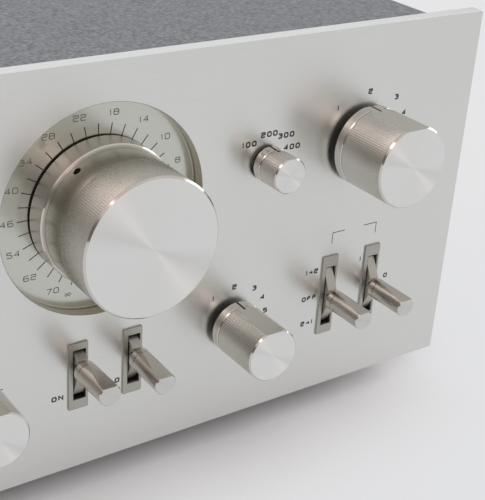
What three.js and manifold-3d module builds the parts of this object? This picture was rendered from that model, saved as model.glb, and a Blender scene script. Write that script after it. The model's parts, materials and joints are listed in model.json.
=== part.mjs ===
// Integrated amplifier with a brushed aluminium front panel, turned knobs, lever switches and a steel case.
// Millimetres, X to the right, Y to the back and Z up. The floor is Z zero and the middle of the panel
// is X zero. Pieces are drawn with Y zero at the front face of the panel, and the whole is centred last.

import * as THREE from 'three';
import { mergeVertices } from 'three/addons/utils/BufferGeometryUtils.js';
import Module from 'manifold-3d';

const wasm = await Module();
wasm.setup();

// Clearance, the length by which a tool runs past the face it cuts, and how near points are made one
const fitGap = 0.3;
const overrun = 2;
const weldReach = 0.0003;

// Front panel
const panelWidth = 420;
const panelHeight = 140;
const panelThickness = 5;
const panelBevel = 0.5;
const panelDrop = 4;

// Case
const footHeight = 14;
const caseDepth = 317;
const coverInset = 16.2;
const coverDrop = 1.5;
const coverWall = 1.2;
const coverCornerRadius = 3;
const plateWall = 1.5;
const subPanelSetback = 3;
const trayWall = 1.2;
const trayRim = 12;

// Ventilation slots in the cover
const ventLength = 44;
const ventWidth = 3.4;
const ventPitch = 12;
const ventCount = 10;
const ventAcrossShares = [-0.24, 0.24];
const ventSetback = 190;
const ventCornerShare = 0.35;

// Rows and columns of the front, as shares of the panel's height and width from its bottom and middle
const upperRowShare = 0.698;
const lowerRowShare = 0.277;
const leverRowShare = 0.279;
const volumeRowShare = 0.657;
const volumeAcrossShare = 0.138;
const functionAcrossShare = 0.3807;
const cartridgeAcrossShare = 0.281;
const modeAcrossShare = 0.2583;
const balanceAcrossShare = 0.0258;
const trebleAcrossShare = -0.131;
const bassAcrossShare = -0.281;
const speakersAcrossShare = -0.3262;
const leftColumnInset = 10.3;
const tapeLeversAcrossShare = 0.3833;
const soundLeversAcrossShare = 0.1402;
const filterLeversAcrossShare = -0.195;
const leverPitch = 20;

// Dial around the volume knob
const dialOpeningRadius = 35.1;
const dialLap = 2.5;
const dialBoreRadius = 8;

// Volume knob
const volumeProjection = 29;
const volumeRadius = 22.5;
const volumeFlangeRadius = 23.3;
const volumeFlangeLength = 7.2;
const volumeFlangeBevel = 0.5;
const volumeSetback = 3.5;
const pointerDotRadius = 1.25;
const pointerDotDepth = 0.5;
const pointerDotSetback = 2.8;
const pointerDotTurn = -35.5;

// Other knobs: the flat on top of the grip is deeper at its front end than at its back end
const largeKnobRadius = 14.6;
const largeKnobProjection = 26;
const largeKnobBand = 3.6;
const largeFlatFront = 1.1;
const largeFlatBack = 0.6;
const mediumKnobRadius = 9.6;
const mediumKnobProjection = 24.7;
const mediumKnobBand = 3.4;
const mediumFlatFront = 0.8;
const mediumFlatBack = 0.4;
const smallKnobRadius = 6.2;
const smallKnobProjection = 13.5;
const smallKnobBand = 2.6;
const smallFlatFront = 0.35;
const smallFlatBack = 0.2;
const knobPanelGap = 2;
const knobGrooveWidth = 0.7;
const knobGrooveDepth = 0.45;
const knobRimBevel = 0.6;
const pointerLineWidth = 0.8;
const pointerLineDepth = 0.25;
const pointerLineOverhang = 2.6;
const shaftGripShare = 0.5;

// Shafts and the bodies that they turn in
const shaftRadius = 3;
const shaftTail = 7;
const bushingRadius = 4.5;
const shaftHoleRadius = 5.5;
const volumePotRadius = 17;
const volumePotLength = 34;
const potRadius = 12;
const potLength = 17;
const potCapRadius = 5;
const potCapLength = 2.5;
const waferRadius = 15;
const waferThickness = 1.8;
const waferPitch = 16;
const waferCount = 1;
const waferHubRadius = 5.5;
const tieRodRadius = 1.3;
const tieRodSpacing = 11;

// Lever switches: the reach is measured up and down from the lever's middle line
const slotWidth = 6.6;
const slotReachDown = 15.4;
const slotReachUp = 16.4;
const slotShortReachUp = 9.1;
const slotOffset = 0.5;
const neckGap = 0.2;
const bezelLap = 0.22;
const bezelProud = 0.5;
const bezelThickness = 2.2;
const bezelCornerRadius = 0.5;
const openingWidth = 4.4;
const openingReach = 12;
const openingShortReachUp = 6.6;
const switchNeckWall = 1;
const switchBodyWidth = 14;
const switchBodyDepth = 22;
const switchBodyLap = 2.5;

// Levers
const leverPivotDepth = 11;
const leverProjection = 21.2;
const leverRadius = 3.8;
const leverRimBevel = 0.35;
const leverCollarStart = 4;
const leverNeckRadius = 2.6;
const leverNeckStart = 2;
const leverFlatLength = 12.4;
const leverFlatDepth = 1.05;
const rockerThickness = 3;
const rockerNose = 2.8;
const rockerNoseHeight = 3.4;
const rockerRimSetback = 1;
const rockerRimWidth = 1.6;
const rockerReach = 11;
const rockerShortRimSetback = 1.9;
const rockerShortReach = 5.2;
const rockerHubRadius = 3.5;
const trunnionRadius = 1.2;
const trunnionReach = 2.9;
const loudnessRestTilt = -2.2;
const mutingRestTilt = 2;

// Headphone jack
const jackNutRadius = 7;
const jackNutLength = 1.6;
const jackNutBevel = 0.5;
const jackBarrelRadius = 5;
const jackBoreRadius = 3.4;
const jackBoreDepth = 31;
const jackBodyRadius = 8;
const jackBodyLength = 24;

// Feet
const footRadius = 13;
const footBaseRadius = 11;
const footRecessRadius = 5;
const footRecessDepth = 4;
const footTaperShare = 0.7;
const footInset = 34;
const footSetback = 36;

// Power supply and boards
const transformerWidth = 96;
const transformerDepth = 44;
const transformerHeight = 82;
const bellWidth = 66;
const bellDepth = 82;
const bellHeight = 62;
const bellCornerRadius = 10;
const transformerFlange = 3;
const transformerFlangeLap = 12;
const transformerAcrossShare = -0.26;
const transformerSetback = 118;
const capacitorRadius = 20;
const capacitorHeight = 76;
const capacitorCrimp = 1.2;
const capacitorShoulder = 8;
const capacitorPitch = 50;
const capacitorAcrossShare = -0.29;
const capacitorSetback = 222;
const sinkWidth = 160;
const sinkHeight = 96;
const sinkBase = 6;
const sinkFinLength = 38;
const sinkFinThickness = 2.2;
const sinkFinCount = 15;
const sinkAcrossShare = 0.205;
const sinkSetback = 226;
const boardThickness = 1.6;
const boardStandoff = 8;
const standoffRadius = 3.5;
const amplifierBoardWidth = 150;
const amplifierBoardDepth = 84;
const amplifierBoardSetback = 122;
const amplifierBoardCans = 5;
const amplifierBoardBlocks = 4;
const phonoBoardWidth = 92;
const phonoBoardDepth = 46;
const phonoBoardGap = 8;
const phonoBoardSetback = 272;
const phonoBoardCans = 3;
const phonoBoardBlocks = 2;
const boardCanRadius = 6;
const boardCanHeight = 22;
const boardBlockWidth = 16;
const boardBlockDepth = 6;
const boardBlockHeight = 18;

// Sockets and terminals on the back
const socketPlateWidth = 150;
const socketPlateHeight = 42;
const socketPlateThickness = 2;
const socketRadius = 4.2;
const socketLength = 9;
const socketCount = 7;
const socketPitch = 19;
const socketRowPitch = 19;
const socketPlateAcrossShare = -0.22;
const socketPlateHeightShare = 0.62;
const terminalPlateWidth = 96;
const terminalPlateHeight = 44;
const terminalPostRadius = 5;
const terminalPostLength = 11;
const terminalPostCount = 4;
const terminalPostPitch = 21;
const terminalRowPitch = 21;
const terminalPlateGap = 19;
const terminalPlateHeightShare = 0.45;
const groundGap = 14;
const groundHeightShare = 0.62;
const groundPlateRadius = 7;
const groundNutRadius = 5;
const groundNutLength = 8;
const glandAcrossShare = 0.4;
const glandHeightShare = 0.2;
const glandFlangeRadius = 9;
const glandFlangeLength = 4;
const glandNeckRadius = 6.5;
const glandBoreRadius = 3.7;
const glandTail = 4;

// Facets of round pieces, by how large they are
const dialFacets = 40;
const largeFacets = 24;
const mediumFacets = 20;
const roundFacets = 16;
const smallFacets = 12;
const tinyFacets = 8;
const rodFacets = 6;
const bendSegments = 3;
const bezelSegments = 2;
const cornerSegments = 1;
const bellSegments = 4;

// Heights and depths that follow from the sizes above
const chassisBottom = footHeight;
const panelBottom = chassisBottom - panelDrop;
const panelTop = panelBottom + panelHeight;
const coverTop = panelTop - coverDrop;
const coverHalfWidth = panelWidth / 2 - coverInset;
const innerHalfWidth = coverHalfWidth - coverWall - fitGap;
const innerTop = coverTop - coverWall - fitGap;
const subPanelFront = panelThickness + subPanelSetback;
const subPanelBack = subPanelFront + plateWall;
const bushingFront = volumeSetback + 2 * fitGap;
const caseBack = panelThickness + caseDepth;
const rearPanelFront = caseBack - plateWall;
const trayFloor = chassisBottom + trayWall;
const rearPanelHeight = innerTop - chassisBottom;

const sheetCornerRadius = coverCornerRadius - coverWall - fitGap;

const across = (share) => share * panelWidth;
const row = (share) => panelBottom + share * panelHeight;
const upperRow = row(upperRowShare);
const lowerRow = row(lowerRowShare);
const leverRow = row(leverRowShare);

// Places across the case, where a piece keeps clear of the one beside it
const leftColumnAcross = leftColumnInset - innerHalfWidth;
const sinkAcross = across(sinkAcrossShare);
const phonoBoardAcross = sinkAcross - (sinkWidth + phonoBoardWidth) / 2 - phonoBoardGap;
const socketPlateAcross = across(socketPlateAcrossShare);
const groundAcross = socketPlateAcross + socketPlateWidth / 2 + groundGap + groundPlateRadius;
const terminalPlateAcross = groundAcross + groundPlateRadius + terminalPlateGap + terminalPlateWidth / 2;
const glandAcross = across(glandAcrossShare);

// Geometry helpers

// A closed geometry becomes a solid that can be joined and cut.
function solidFrom(geometry) {
  const plain = geometry.clone();
  plain.deleteAttribute('normal');
  plain.deleteAttribute('uv');
  const welded = mergeVertices(plain, weldReach);
  const mesh = new wasm.Mesh({
    numProp: 3,
    vertProperties: new Float32Array(welded.attributes.position.array),
    triVerts: new Uint32Array(welded.index.array),
  });
  return new wasm.Manifold(mesh);
}

function geometryFrom(solid) {
  const mesh = solid.getMesh();
  const geometry = new THREE.BufferGeometry();
  geometry.setAttribute('position', new THREE.BufferAttribute(mesh.vertProperties.slice(), 3));
  geometry.setIndex(new THREE.BufferAttribute(mesh.triVerts.slice(), 1));
  geometry.computeVertexNormals();
  return geometry;
}

function joined(solids) {
  return solids.reduce((whole, piece) => whole.add(piece));
}

function cut(solid, tools) {
  return tools.reduce((rest, tool) => rest.subtract(tool), solid);
}

// A box between two corners
function block(xMin, xMax, yMin, yMax, zMin, zMax) {
  const geometry = new THREE.BoxGeometry(xMax - xMin, yMax - yMin, zMax - zMin);
  geometry.translate((xMin + xMax) / 2, (yMin + yMax) / 2, (zMin + zMax) / 2);
  return solidFrom(geometry);
}

// A round bar along Y between two depths
function barAlongY(radius, yMin, yMax, facets, x = 0, z = 0) {
  const geometry = new THREE.CylinderGeometry(radius, radius, yMax - yMin, facets);
  geometry.translate(x, (yMin + yMax) / 2, z);
  return solidFrom(geometry);
}

function barAlongX(radius, reach, facets, y, z) {
  const geometry = new THREE.CylinderGeometry(radius, radius, 2 * reach, facets);
  geometry.rotateZ(Math.PI / 2);
  geometry.translate(0, y, z);
  return solidFrom(geometry);
}

function barAlongZ(radius, zMin, zMax, facets, x, y) {
  const geometry = new THREE.CylinderGeometry(radius, radius, zMax - zMin, facets);
  geometry.rotateX(Math.PI / 2);
  geometry.translate(x, y, (zMin + zMax) / 2);
  return solidFrom(geometry);
}

// A profile of radius and depth, listed from the front of the axis outwards and back, turned about Y
function turnedAboutY(profile, facets) {
  const points = profile.map(([radius, depth]) => new THREE.Vector2(radius, depth));
  return solidFrom(new THREE.LatheGeometry(points, facets));
}

// A profile of radius and height, listed from the bottom of the axis outwards and up, turned about Z
function turnedAboutZ(profile, facets) {
  const points = profile.map(([radius, height]) => new THREE.Vector2(radius, height));
  const geometry = new THREE.LatheGeometry(points, facets);
  geometry.rotateX(Math.PI / 2);
  return solidFrom(geometry);
}

// An outline in Y and Z made as thick as asked, centred on X zero
function slabAcrossX(outline, thickness) {
  const geometry = new THREE.ExtrudeGeometry(outline, { depth: thickness, bevelEnabled: false });
  geometry.translate(0, 0, -thickness / 2);
  const turn = new THREE.Matrix4().makeBasis(
    new THREE.Vector3(0, 1, 0),
    new THREE.Vector3(0, 0, 1),
    new THREE.Vector3(1, 0, 0),
  );
  geometry.applyMatrix4(turn);
  return solidFrom(geometry);
}

// An outline in X and Z made solid from one depth to another
function slabAlongY(outline, yMin, yMax, curveSegments) {
  const options = { depth: yMax - yMin, bevelEnabled: false, curveSegments };
  const geometry = new THREE.ExtrudeGeometry(outline, options);
  geometry.rotateX(Math.PI / 2);
  geometry.translate(0, yMax, 0);
  return solidFrom(geometry);
}

// An outline in X and Y made solid from one height to another
function slabAlongZ(outline, zMin, zMax) {
  const options = { depth: zMax - zMin, bevelEnabled: false, curveSegments: cornerSegments };
  const geometry = new THREE.ExtrudeGeometry(outline, options);
  geometry.translate(0, 0, zMin);
  return solidFrom(geometry);
}

function polygon(points) {
  return new THREE.Shape(points.map(([u, v]) => new THREE.Vector2(u, v)));
}

function roundedRectangle(uMin, uMax, vMin, vMax, radius) {
  const shape = new THREE.Shape();
  shape.moveTo(uMin + radius, vMin);
  shape.lineTo(uMax - radius, vMin);
  shape.absarc(uMax - radius, vMin + radius, radius, -Math.PI / 2, 0, false);
  shape.absarc(uMax - radius, vMax - radius, radius, 0, Math.PI / 2, false);
  shape.absarc(uMin + radius, vMax - radius, radius, Math.PI / 2, Math.PI, false);
  shape.absarc(uMin + radius, vMin + radius, radius, Math.PI, 1.5 * Math.PI, false);
  return shape;
}

// Materials

function finish(name, color, roughness, metalness) {
  return new THREE.MeshStandardMaterial({ name, color, roughness, metalness });
}

const brushedPanel = () => finish('brushed_aluminium', 0xbcbcb8, 0.38, 0.9);
const turnedAluminium = () => finish('turned_aluminium', 0xb4aca4, 0.28, 0.95);
const dialPlate = () => finish('anodised_dial', 0x9fa399, 0.45, 0.8);
const escutcheonGrey = () => finish('escutcheon', 0x96938c, 0.5, 0.4);
const enamelledSteel = () => finish('enamelled_steel', 0x8c9090, 0.6, 0.2);
const zincedSteel = () => finish('zinced_steel', 0xa8a9a4, 0.4, 0.8);
const blackedAluminium = () => finish('blacked_aluminium', 0x24262a, 0.5, 0.5);
const nickelledSteel = () => finish('nickelled_steel', 0xc4c4c0, 0.25, 1);
const blackRubber = () => finish('black_rubber', 0x1c1c1c, 0.85, 0);
const blackPlastic = () => finish('black_plastic', 0x202020, 0.5, 0);
const canSleeve = () => finish('can_sleeve', 0x2a3550, 0.45, 0);
const boardLaminate = () => finish('board_laminate', 0x9a7440, 0.6, 0);
const transformerPaint = () => finish('transformer_paint', 0x2c2c2e, 0.5, 0.3);

function piece(name, solid, material) {
  const mesh = new THREE.Mesh(geometryFrom(solid), material);
  mesh.name = name;
  return mesh;
}

function placed(object, x, y, z) {
  object.position.set(x, y, z);
  return object;
}

// The controls of the front: where each one stands and what it is

const largeKnob = {
  radius: largeKnobRadius,
  projection: largeKnobProjection,
  band: largeKnobBand,
  flatFront: largeFlatFront,
  flatBack: largeFlatBack,
  facets: largeFacets,
};
const mediumKnob = {
  radius: mediumKnobRadius,
  projection: mediumKnobProjection,
  band: mediumKnobBand,
  flatFront: mediumFlatFront,
  flatBack: mediumFlatBack,
  facets: mediumFacets,
};
const smallKnob = {
  radius: smallKnobRadius,
  projection: smallKnobProjection,
  band: smallKnobBand,
  flatFront: smallFlatFront,
  flatBack: smallFlatBack,
  facets: roundFacets,
};

const rotaries = [
  { name: 'function', x: across(functionAcrossShare), z: upperRow, knob: largeKnob, body: 'switch' },
  { name: 'treble', x: across(trebleAcrossShare), z: upperRow, knob: largeKnob, body: 'control' },
  { name: 'bass', x: across(bassAcrossShare), z: upperRow, knob: largeKnob, body: 'control' },
  { name: 'mode', x: across(modeAcrossShare), z: lowerRow, knob: mediumKnob, body: 'switch' },
  { name: 'balance', x: across(balanceAcrossShare), z: lowerRow, knob: mediumKnob, body: 'control' },
  { name: 'speakers', x: across(speakersAcrossShare), z: lowerRow, knob: mediumKnob, body: 'switch' },
  {
    name: 'cartridge_load',
    x: across(cartridgeAcrossShare),
    z: upperRow,
    knob: smallKnob,
    body: 'switch',
  },
];

const volumePlace = { x: across(volumeAcrossShare), z: row(volumeRowShare) };
const jackPlace = { x: leftColumnAcross, z: lowerRow };

// A long switch has a middle position and reaches as far up as down. A short one rests level and
// only goes down, so its slot, opening and rocker stop sooner above.
const longSwitch = {
  slotUp: slotReachUp,
  openingUp: openingReach,
  rockerUp: rockerReach,
  rockerUpSetback: rockerRimSetback,
};
const shortSwitch = {
  slotUp: slotShortReachUp,
  openingUp: openingShortReachUp,
  rockerUp: rockerShortReach,
  rockerUpSetback: rockerShortRimSetback,
};

const pair = (share, side) => across(share) + (side * leverPitch) / 2;
const levers = [
  { name: 'power', x: leftColumnAcross, z: upperRow, kind: shortSwitch, tilt: 0 },
  {
    name: 'low_filter',
    x: pair(filterLeversAcrossShare, -1),
    z: leverRow,
    kind: shortSwitch,
    tilt: 0,
  },
  {
    name: 'high_filter',
    x: pair(filterLeversAcrossShare, 1),
    z: leverRow,
    kind: shortSwitch,
    tilt: 0,
  },
  {
    name: 'loudness',
    x: pair(soundLeversAcrossShare, -1),
    z: leverRow,
    kind: shortSwitch,
    tilt: loudnessRestTilt,
  },
  {
    name: 'muting',
    x: pair(soundLeversAcrossShare, 1),
    z: leverRow,
    kind: shortSwitch,
    tilt: mutingRestTilt,
  },
  { name: 'duplicate', x: pair(tapeLeversAcrossShare, -1), z: leverRow, kind: longSwitch, tilt: 0 },
  { name: 'monitor', x: pair(tapeLeversAcrossShare, 1), z: leverRow, kind: longSwitch, tilt: 0 },
];

// Front panel and what stands right behind it

function slotTool(lever, back) {
  const middle = lever.x - slotOffset;
  return block(
    middle - slotWidth / 2,
    middle + slotWidth / 2,
    -overrun,
    back,
    lever.z - slotReachDown,
    lever.z + lever.kind.slotUp,
  );
}

function makeFrontPanel() {
  const outline = polygon([
    [-panelWidth / 2, panelBottom],
    [panelWidth / 2, panelBottom],
    [panelWidth / 2, panelTop],
    [-panelWidth / 2, panelTop],
  ]);
  const plate = new THREE.ExtrudeGeometry(outline, {
    depth: panelThickness - 2 * panelBevel,
    bevelThickness: panelBevel,
    bevelSize: panelBevel,
    bevelOffset: -panelBevel,
    bevelSegments: 1,
  });
  plate.rotateX(Math.PI / 2);
  plate.translate(0, panelThickness - panelBevel, 0);
  const through = panelThickness + overrun;
  const tools = [
    barAlongY(dialOpeningRadius, -overrun, through, dialFacets, volumePlace.x, volumePlace.z),
    barAlongY(jackBarrelRadius + fitGap, -overrun, through, roundFacets, jackPlace.x, jackPlace.z),
    ...rotaries.map(({ x, z }) => barAlongY(shaftHoleRadius, -overrun, through, tinyFacets, x, z)),
    ...levers.map((lever) => slotTool(lever, through)),
  ];
  return piece('front_panel', cut(solidFrom(plate), tools), brushedPanel());
}

// The upright sheets fill the inside of the cover, with their upper corners rounded like its bends.
function uprightOutline() {
  const bend = sheetCornerRadius;
  const outline = new THREE.Shape();
  outline.moveTo(-innerHalfWidth, chassisBottom);
  outline.lineTo(innerHalfWidth, chassisBottom);
  outline.absarc(innerHalfWidth - bend, innerTop - bend, bend, 0, Math.PI / 2, false);
  outline.absarc(bend - innerHalfWidth, innerTop - bend, bend, Math.PI / 2, Math.PI, false);
  return outline;
}

// The sub-panel is a steel pan whose edges are folded forward to the back of the front panel.
function makeFrontSubPanel() {
  const pan = slabAlongY(uprightOutline(), panelThickness, subPanelBack, bendSegments);
  const dish = block(
    plateWall - innerHalfWidth,
    innerHalfWidth - plateWall,
    panelThickness - overrun,
    subPanelFront,
    chassisBottom + plateWall,
    innerTop - plateWall,
  );
  const back = subPanelBack + overrun;
  const shaftPlaces = [volumePlace, ...rotaries];
  const tools = [
    dish,
    barAlongY(jackBarrelRadius + fitGap, 0, back, roundFacets, jackPlace.x, jackPlace.z),
    ...shaftPlaces.map(({ x, z }) => barAlongY(bushingRadius + fitGap, 0, back, smallFacets, x, z)),
    ...levers.map((lever) => slotTool(lever, back)),
  ];
  return piece('front_sub_panel', cut(pan, tools), zincedSteel());
}

// The dial is a thick ring between the back of the front panel and the sub-panel.
function makeVolumeDial() {
  const radius = dialOpeningRadius + dialLap;
  const profile = [
    [dialBoreRadius, panelThickness],
    [radius, panelThickness],
    [radius, subPanelFront],
    [dialBoreRadius, subPanelFront],
    [dialBoreRadius, panelThickness],
  ];
  const dial = piece('volume_dial', turnedAboutY(profile, dialFacets), dialPlate());
  return placed(dial, volumePlace.x, 0, volumePlace.z);
}

// Knobs

function shaftBore(projection, back) {
  const depth = -projection * shaftGripShare - fitGap;
  return barAlongY(shaftRadius + fitGap, depth, back + overrun, smallFacets);
}

// The tool for the flat on top of a grip, from its front face back to the groove
function gripFlatTool({ radius, flatFront, flatBack }, front, back) {
  const outline = polygon([
    [front - overrun, radius - flatFront],
    [front, radius - flatFront],
    [back, radius - flatBack],
    [back, radius + overrun],
    [front - overrun, radius + overrun],
  ]);
  return slabAcrossX(outline, 2 * (radius + overrun));
}

// A knob with a base ring, a groove, a long grip with one flat, and a bevelled rim
function makeKnob(name, knob) {
  const { radius, projection, band, facets } = knob;
  const front = -projection;
  const back = -knobPanelGap;
  const grooveBack = back - band;
  const grooveFront = grooveBack - knobGrooveWidth;
  const coreRadius = radius - knobGrooveDepth;
  const turned = turnedAboutY(
    [
      [0, front],
      [radius - knobRimBevel, front],
      [radius, front + knobRimBevel],
      [radius, grooveFront],
      [coreRadius, grooveFront],
      [coreRadius, grooveBack],
      [radius, grooveBack],
      [radius, back],
      [0, back],
    ],
    facets,
  );
  const pointer = block(
    -pointerLineWidth / 2,
    pointerLineWidth / 2,
    grooveFront - pointerLineOverhang,
    back + overrun,
    radius - knob.flatBack - pointerLineDepth,
    radius + overrun,
  );
  const tools = [shaftBore(projection, back), gripFlatTool(knob, front, grooveFront), pointer];
  return piece(name, cut(turned, tools), turnedAluminium());
}

// The volume knob starts inside the dial opening with a polished flange, and carries a pointer dot.
function makeVolumeKnob() {
  const front = -volumeProjection;
  const flangeFront = volumeSetback - volumeFlangeLength;
  const turned = turnedAboutY(
    [
      [0, front],
      [volumeRadius - knobRimBevel, front],
      [volumeRadius, front + knobRimBevel],
      [volumeRadius, flangeFront],
      [volumeFlangeRadius - volumeFlangeBevel, flangeFront],
      [volumeFlangeRadius, flangeFront + volumeFlangeBevel],
      [volumeFlangeRadius, volumeSetback],
      [0, volumeSetback],
    ],
    dialFacets,
  );
  const dot = new THREE.CylinderGeometry(pointerDotRadius, pointerDotRadius, 2 * overrun, smallFacets);
  dot.rotateX(Math.PI / 2);
  dot.translate(0, flangeFront - pointerDotSetback, volumeRadius - pointerDotDepth + overrun);
  dot.rotateY(THREE.MathUtils.degToRad(pointerDotTurn));
  const tools = [shaftBore(volumeProjection, volumeSetback), solidFrom(dot)];
  return piece('volume_knob', cut(turned, tools), turnedAluminium());
}

// A shaft runs from the grip in the knob to its tail inside the control.
function makeShaft(name, projection) {
  const front = -projection * shaftGripShare;
  const shaft = barAlongY(shaftRadius, front, subPanelBack + shaftTail, smallFacets);
  return piece(name, shaft, nickelledSteel());
}

// A potentiometer: threaded bushing, round can and a small cap on the back
function makeControl(name, radius, length) {
  const front = bushingFront;
  const canBack = subPanelBack + length;
  const boreBack = subPanelBack + shaftTail + fitGap;
  const profile = [
    [shaftRadius + fitGap, front],
    [bushingRadius, front],
    [bushingRadius, subPanelBack],
    [radius, subPanelBack],
    [radius, canBack],
    [potCapRadius, canBack],
    [potCapRadius, canBack + potCapLength],
    [0, canBack + potCapLength],
    [0, boreBack],
    [shaftRadius + fitGap, boreBack],
    [shaftRadius + fitGap, front],
  ];
  return piece(name, turnedAboutY(profile, smallFacets), zincedSteel());
}

// A rotary switch: wafers on a hub, held by two tie rods
function makeRotarySwitch(name) {
  const front = bushingFront;
  const stackBack = subPanelBack + waferThickness + waferCount * waferPitch;
  const solids = [
    barAlongY(bushingRadius, front, subPanelBack + waferThickness, smallFacets),
    barAlongY(waferHubRadius, subPanelBack, stackBack, tinyFacets),
    barAlongY(tieRodRadius, subPanelBack, stackBack, rodFacets, -tieRodSpacing),
    barAlongY(tieRodRadius, subPanelBack, stackBack, rodFacets, tieRodSpacing),
  ];
  for (let index = 0; index <= waferCount; index += 1) {
    const back = subPanelBack + waferThickness + index * waferPitch;
    solids.push(barAlongY(waferRadius, back - waferThickness, back, tinyFacets));
  }
  const bore = barAlongY(
    shaftRadius + fitGap,
    front - overrun,
    subPanelBack + shaftTail + fitGap,
    smallFacets,
  );
  return piece(name, joined(solids).subtract(bore), zincedSteel());
}

function makeRotaryGroup({ name, x, z, knob, body }) {
  const group = placed(new THREE.Group(), x, 0, z);
  const bodyName = `${name}_${body}`;
  group.add(makeKnob(`${name}_knob`, knob));
  group.add(makeShaft(`${name}_shaft`, knob.projection));
  group.add(body === 'switch' ? makeRotarySwitch(bodyName) : makeControl(bodyName, potRadius, potLength));
  return group;
}

function makeVolumeGroup() {
  const group = placed(new THREE.Group(), volumePlace.x, 0, volumePlace.z);
  group.add(makeVolumeKnob());
  group.add(makeShaft('volume_shaft', volumeProjection));
  group.add(makeControl('volume_control', volumePotRadius, volumePotLength));
  return group;
}

// Lever switches

// The rocker seen from the side: a nose under the barrel, two sloping flanks and a round hub.
function rockerOutline(kind) {
  const nose = -rockerNose - leverPivotDepth;
  const rim = rockerRimSetback - leverPivotDepth;
  const upperRim = kind.rockerUpSetback - leverPivotDepth;
  const outline = new THREE.Shape();
  outline.moveTo(nose, -rockerNoseHeight);
  outline.lineTo(rim, -rockerReach);
  outline.lineTo(rim + rockerRimWidth, -rockerReach);
  outline.absarc(0, 0, rockerHubRadius, -Math.PI / 2, Math.PI / 2, false);
  outline.lineTo(upperRim + rockerRimWidth, kind.rockerUp);
  outline.lineTo(upperRim, kind.rockerUp);
  outline.lineTo(nose, rockerNoseHeight);
  outline.closePath();
  return outline;
}

// The tool for the thumb flat on top, which sinks into the barrel towards the tip
function thumbFlatTool() {
  const tip = -leverProjection - leverPivotDepth;
  const start = tip + leverFlatLength;
  const slope = leverFlatDepth / leverFlatLength;
  const outline = polygon([
    [start, leverRadius],
    [start, leverRadius + overrun],
    [tip - overrun, leverRadius + overrun],
    [tip - overrun, leverRadius - leverFlatDepth - slope * overrun],
  ]);
  return slabAcrossX(outline, 2 * (leverRadius + overrun));
}

// A lever is drawn about its pivot, pointing straight at the front.
function makeLever({ name, kind, tilt }) {
  const tip = -leverProjection - leverPivotDepth;
  const collarBack = -leverCollarStart - leverPivotDepth;
  const neckBack = -leverNeckStart - leverPivotDepth;
  const barrel = turnedAboutY(
    [
      [0, tip],
      [leverRadius - leverRimBevel, tip],
      [leverRadius, tip + leverRimBevel],
      [leverRadius, collarBack],
      [leverNeckRadius, neckBack],
      [0, neckBack],
    ],
    smallFacets,
  );
  const rocker = slabAcrossX(rockerOutline(kind), rockerThickness);
  const trunnion = barAlongX(trunnionRadius, trunnionReach, tinyFacets, 0, 0);
  const flatted = cut(barrel, [thumbFlatTool()]);
  const lever = piece(`${name}_lever`, joined([flatted, rocker, trunnion]), turnedAluminium());
  placed(lever, 0, leverPivotDepth, 0);
  lever.rotation.x = THREE.MathUtils.degToRad(tilt);
  return lever;
}

// The escutcheon laps the edges of the panel's slot and stands a little proud of the panel.
function makeEscutcheon(kind) {
  const half = slotWidth / 2 + bezelLap;
  const outline = roundedRectangle(
    -slotOffset - half,
    half - slotOffset,
    -slotReachDown - bezelLap,
    kind.slotUp + bezelLap,
    bezelCornerRadius,
  );
  return slabAlongY(outline, -bezelProud, 0, bezelSegments);
}

// The switch reaches from the escutcheon through the slot and holds the lever's trunnions behind it.
function makeLeverSwitch({ name, kind }) {
  const half = slotWidth / 2 - neckGap;
  const top = kind.slotUp - neckGap;
  const bottom = neckGap - slotReachDown;
  const neck = block(-slotOffset - half, half - slotOffset, -bezelProud, subPanelBack, bottom, top);
  const bodyBack = subPanelBack + switchBodyDepth;
  const body = block(
    -switchBodyWidth / 2,
    switchBodyWidth / 2,
    subPanelBack,
    bodyBack,
    bottom - switchBodyLap,
    top + switchBodyLap,
  );
  const chamberFront = bezelThickness - bezelProud;
  const chamberBack = leverPivotDepth + rockerHubRadius + switchNeckWall;
  const chamber = block(
    -openingWidth / 2,
    openingWidth / 2,
    chamberFront,
    chamberBack,
    bottom + switchNeckWall,
    top - switchNeckWall,
  );
  const window = block(
    -openingWidth / 2,
    openingWidth / 2,
    -overrun,
    chamberFront + bezelThickness,
    -openingReach,
    kind.openingUp,
  );
  const bearing = barAlongX(trunnionRadius + fitGap, trunnionReach + fitGap, tinyFacets, leverPivotDepth, 0);
  const whole = joined([makeEscutcheon(kind), neck, body]);
  return piece(`${name}_switch`, cut(whole, [chamber, window, bearing]), escutcheonGrey());
}

function makeLeverGroup(lever) {
  const group = placed(new THREE.Group(), lever.x, 0, lever.z);
  group.add(makeLever(lever));
  group.add(makeLeverSwitch(lever));
  return group;
}

// The jack's barrel passes through both sheets and ends level with the nut in front of the panel.
function makeHeadphoneJack() {
  const bodyBack = subPanelBack + jackBodyLength;
  const boreBack = jackBoreDepth - jackNutLength;
  const profile = [
    [jackBoreRadius, -jackNutLength],
    [jackBarrelRadius, -jackNutLength],
    [jackBarrelRadius, subPanelBack],
    [jackBodyRadius, subPanelBack],
    [jackBodyRadius, bodyBack],
    [0, bodyBack],
    [0, boreBack],
    [jackBoreRadius, boreBack],
    [jackBoreRadius, -jackNutLength],
  ];
  return piece('headphone_jack', turnedAboutY(profile, roundFacets), blackPlastic());
}

function makeHeadphoneNut() {
  const profile = [
    [jackBarrelRadius + fitGap, -jackNutLength],
    [jackNutRadius - jackNutBevel, -jackNutLength],
    [jackNutRadius, jackNutBevel - jackNutLength],
    [jackNutRadius, 0],
    [jackBarrelRadius + fitGap, 0],
    [jackBarrelRadius + fitGap, -jackNutLength],
  ];
  return piece('headphone_nut', turnedAboutY(profile, roundFacets), nickelledSteel());
}

function makeHeadphoneGroup() {
  const group = placed(new THREE.Group(), jackPlace.x, 0, jackPlace.z);
  group.add(makeHeadphoneJack());
  group.add(makeHeadphoneNut());
  return group;
}

// Case

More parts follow.
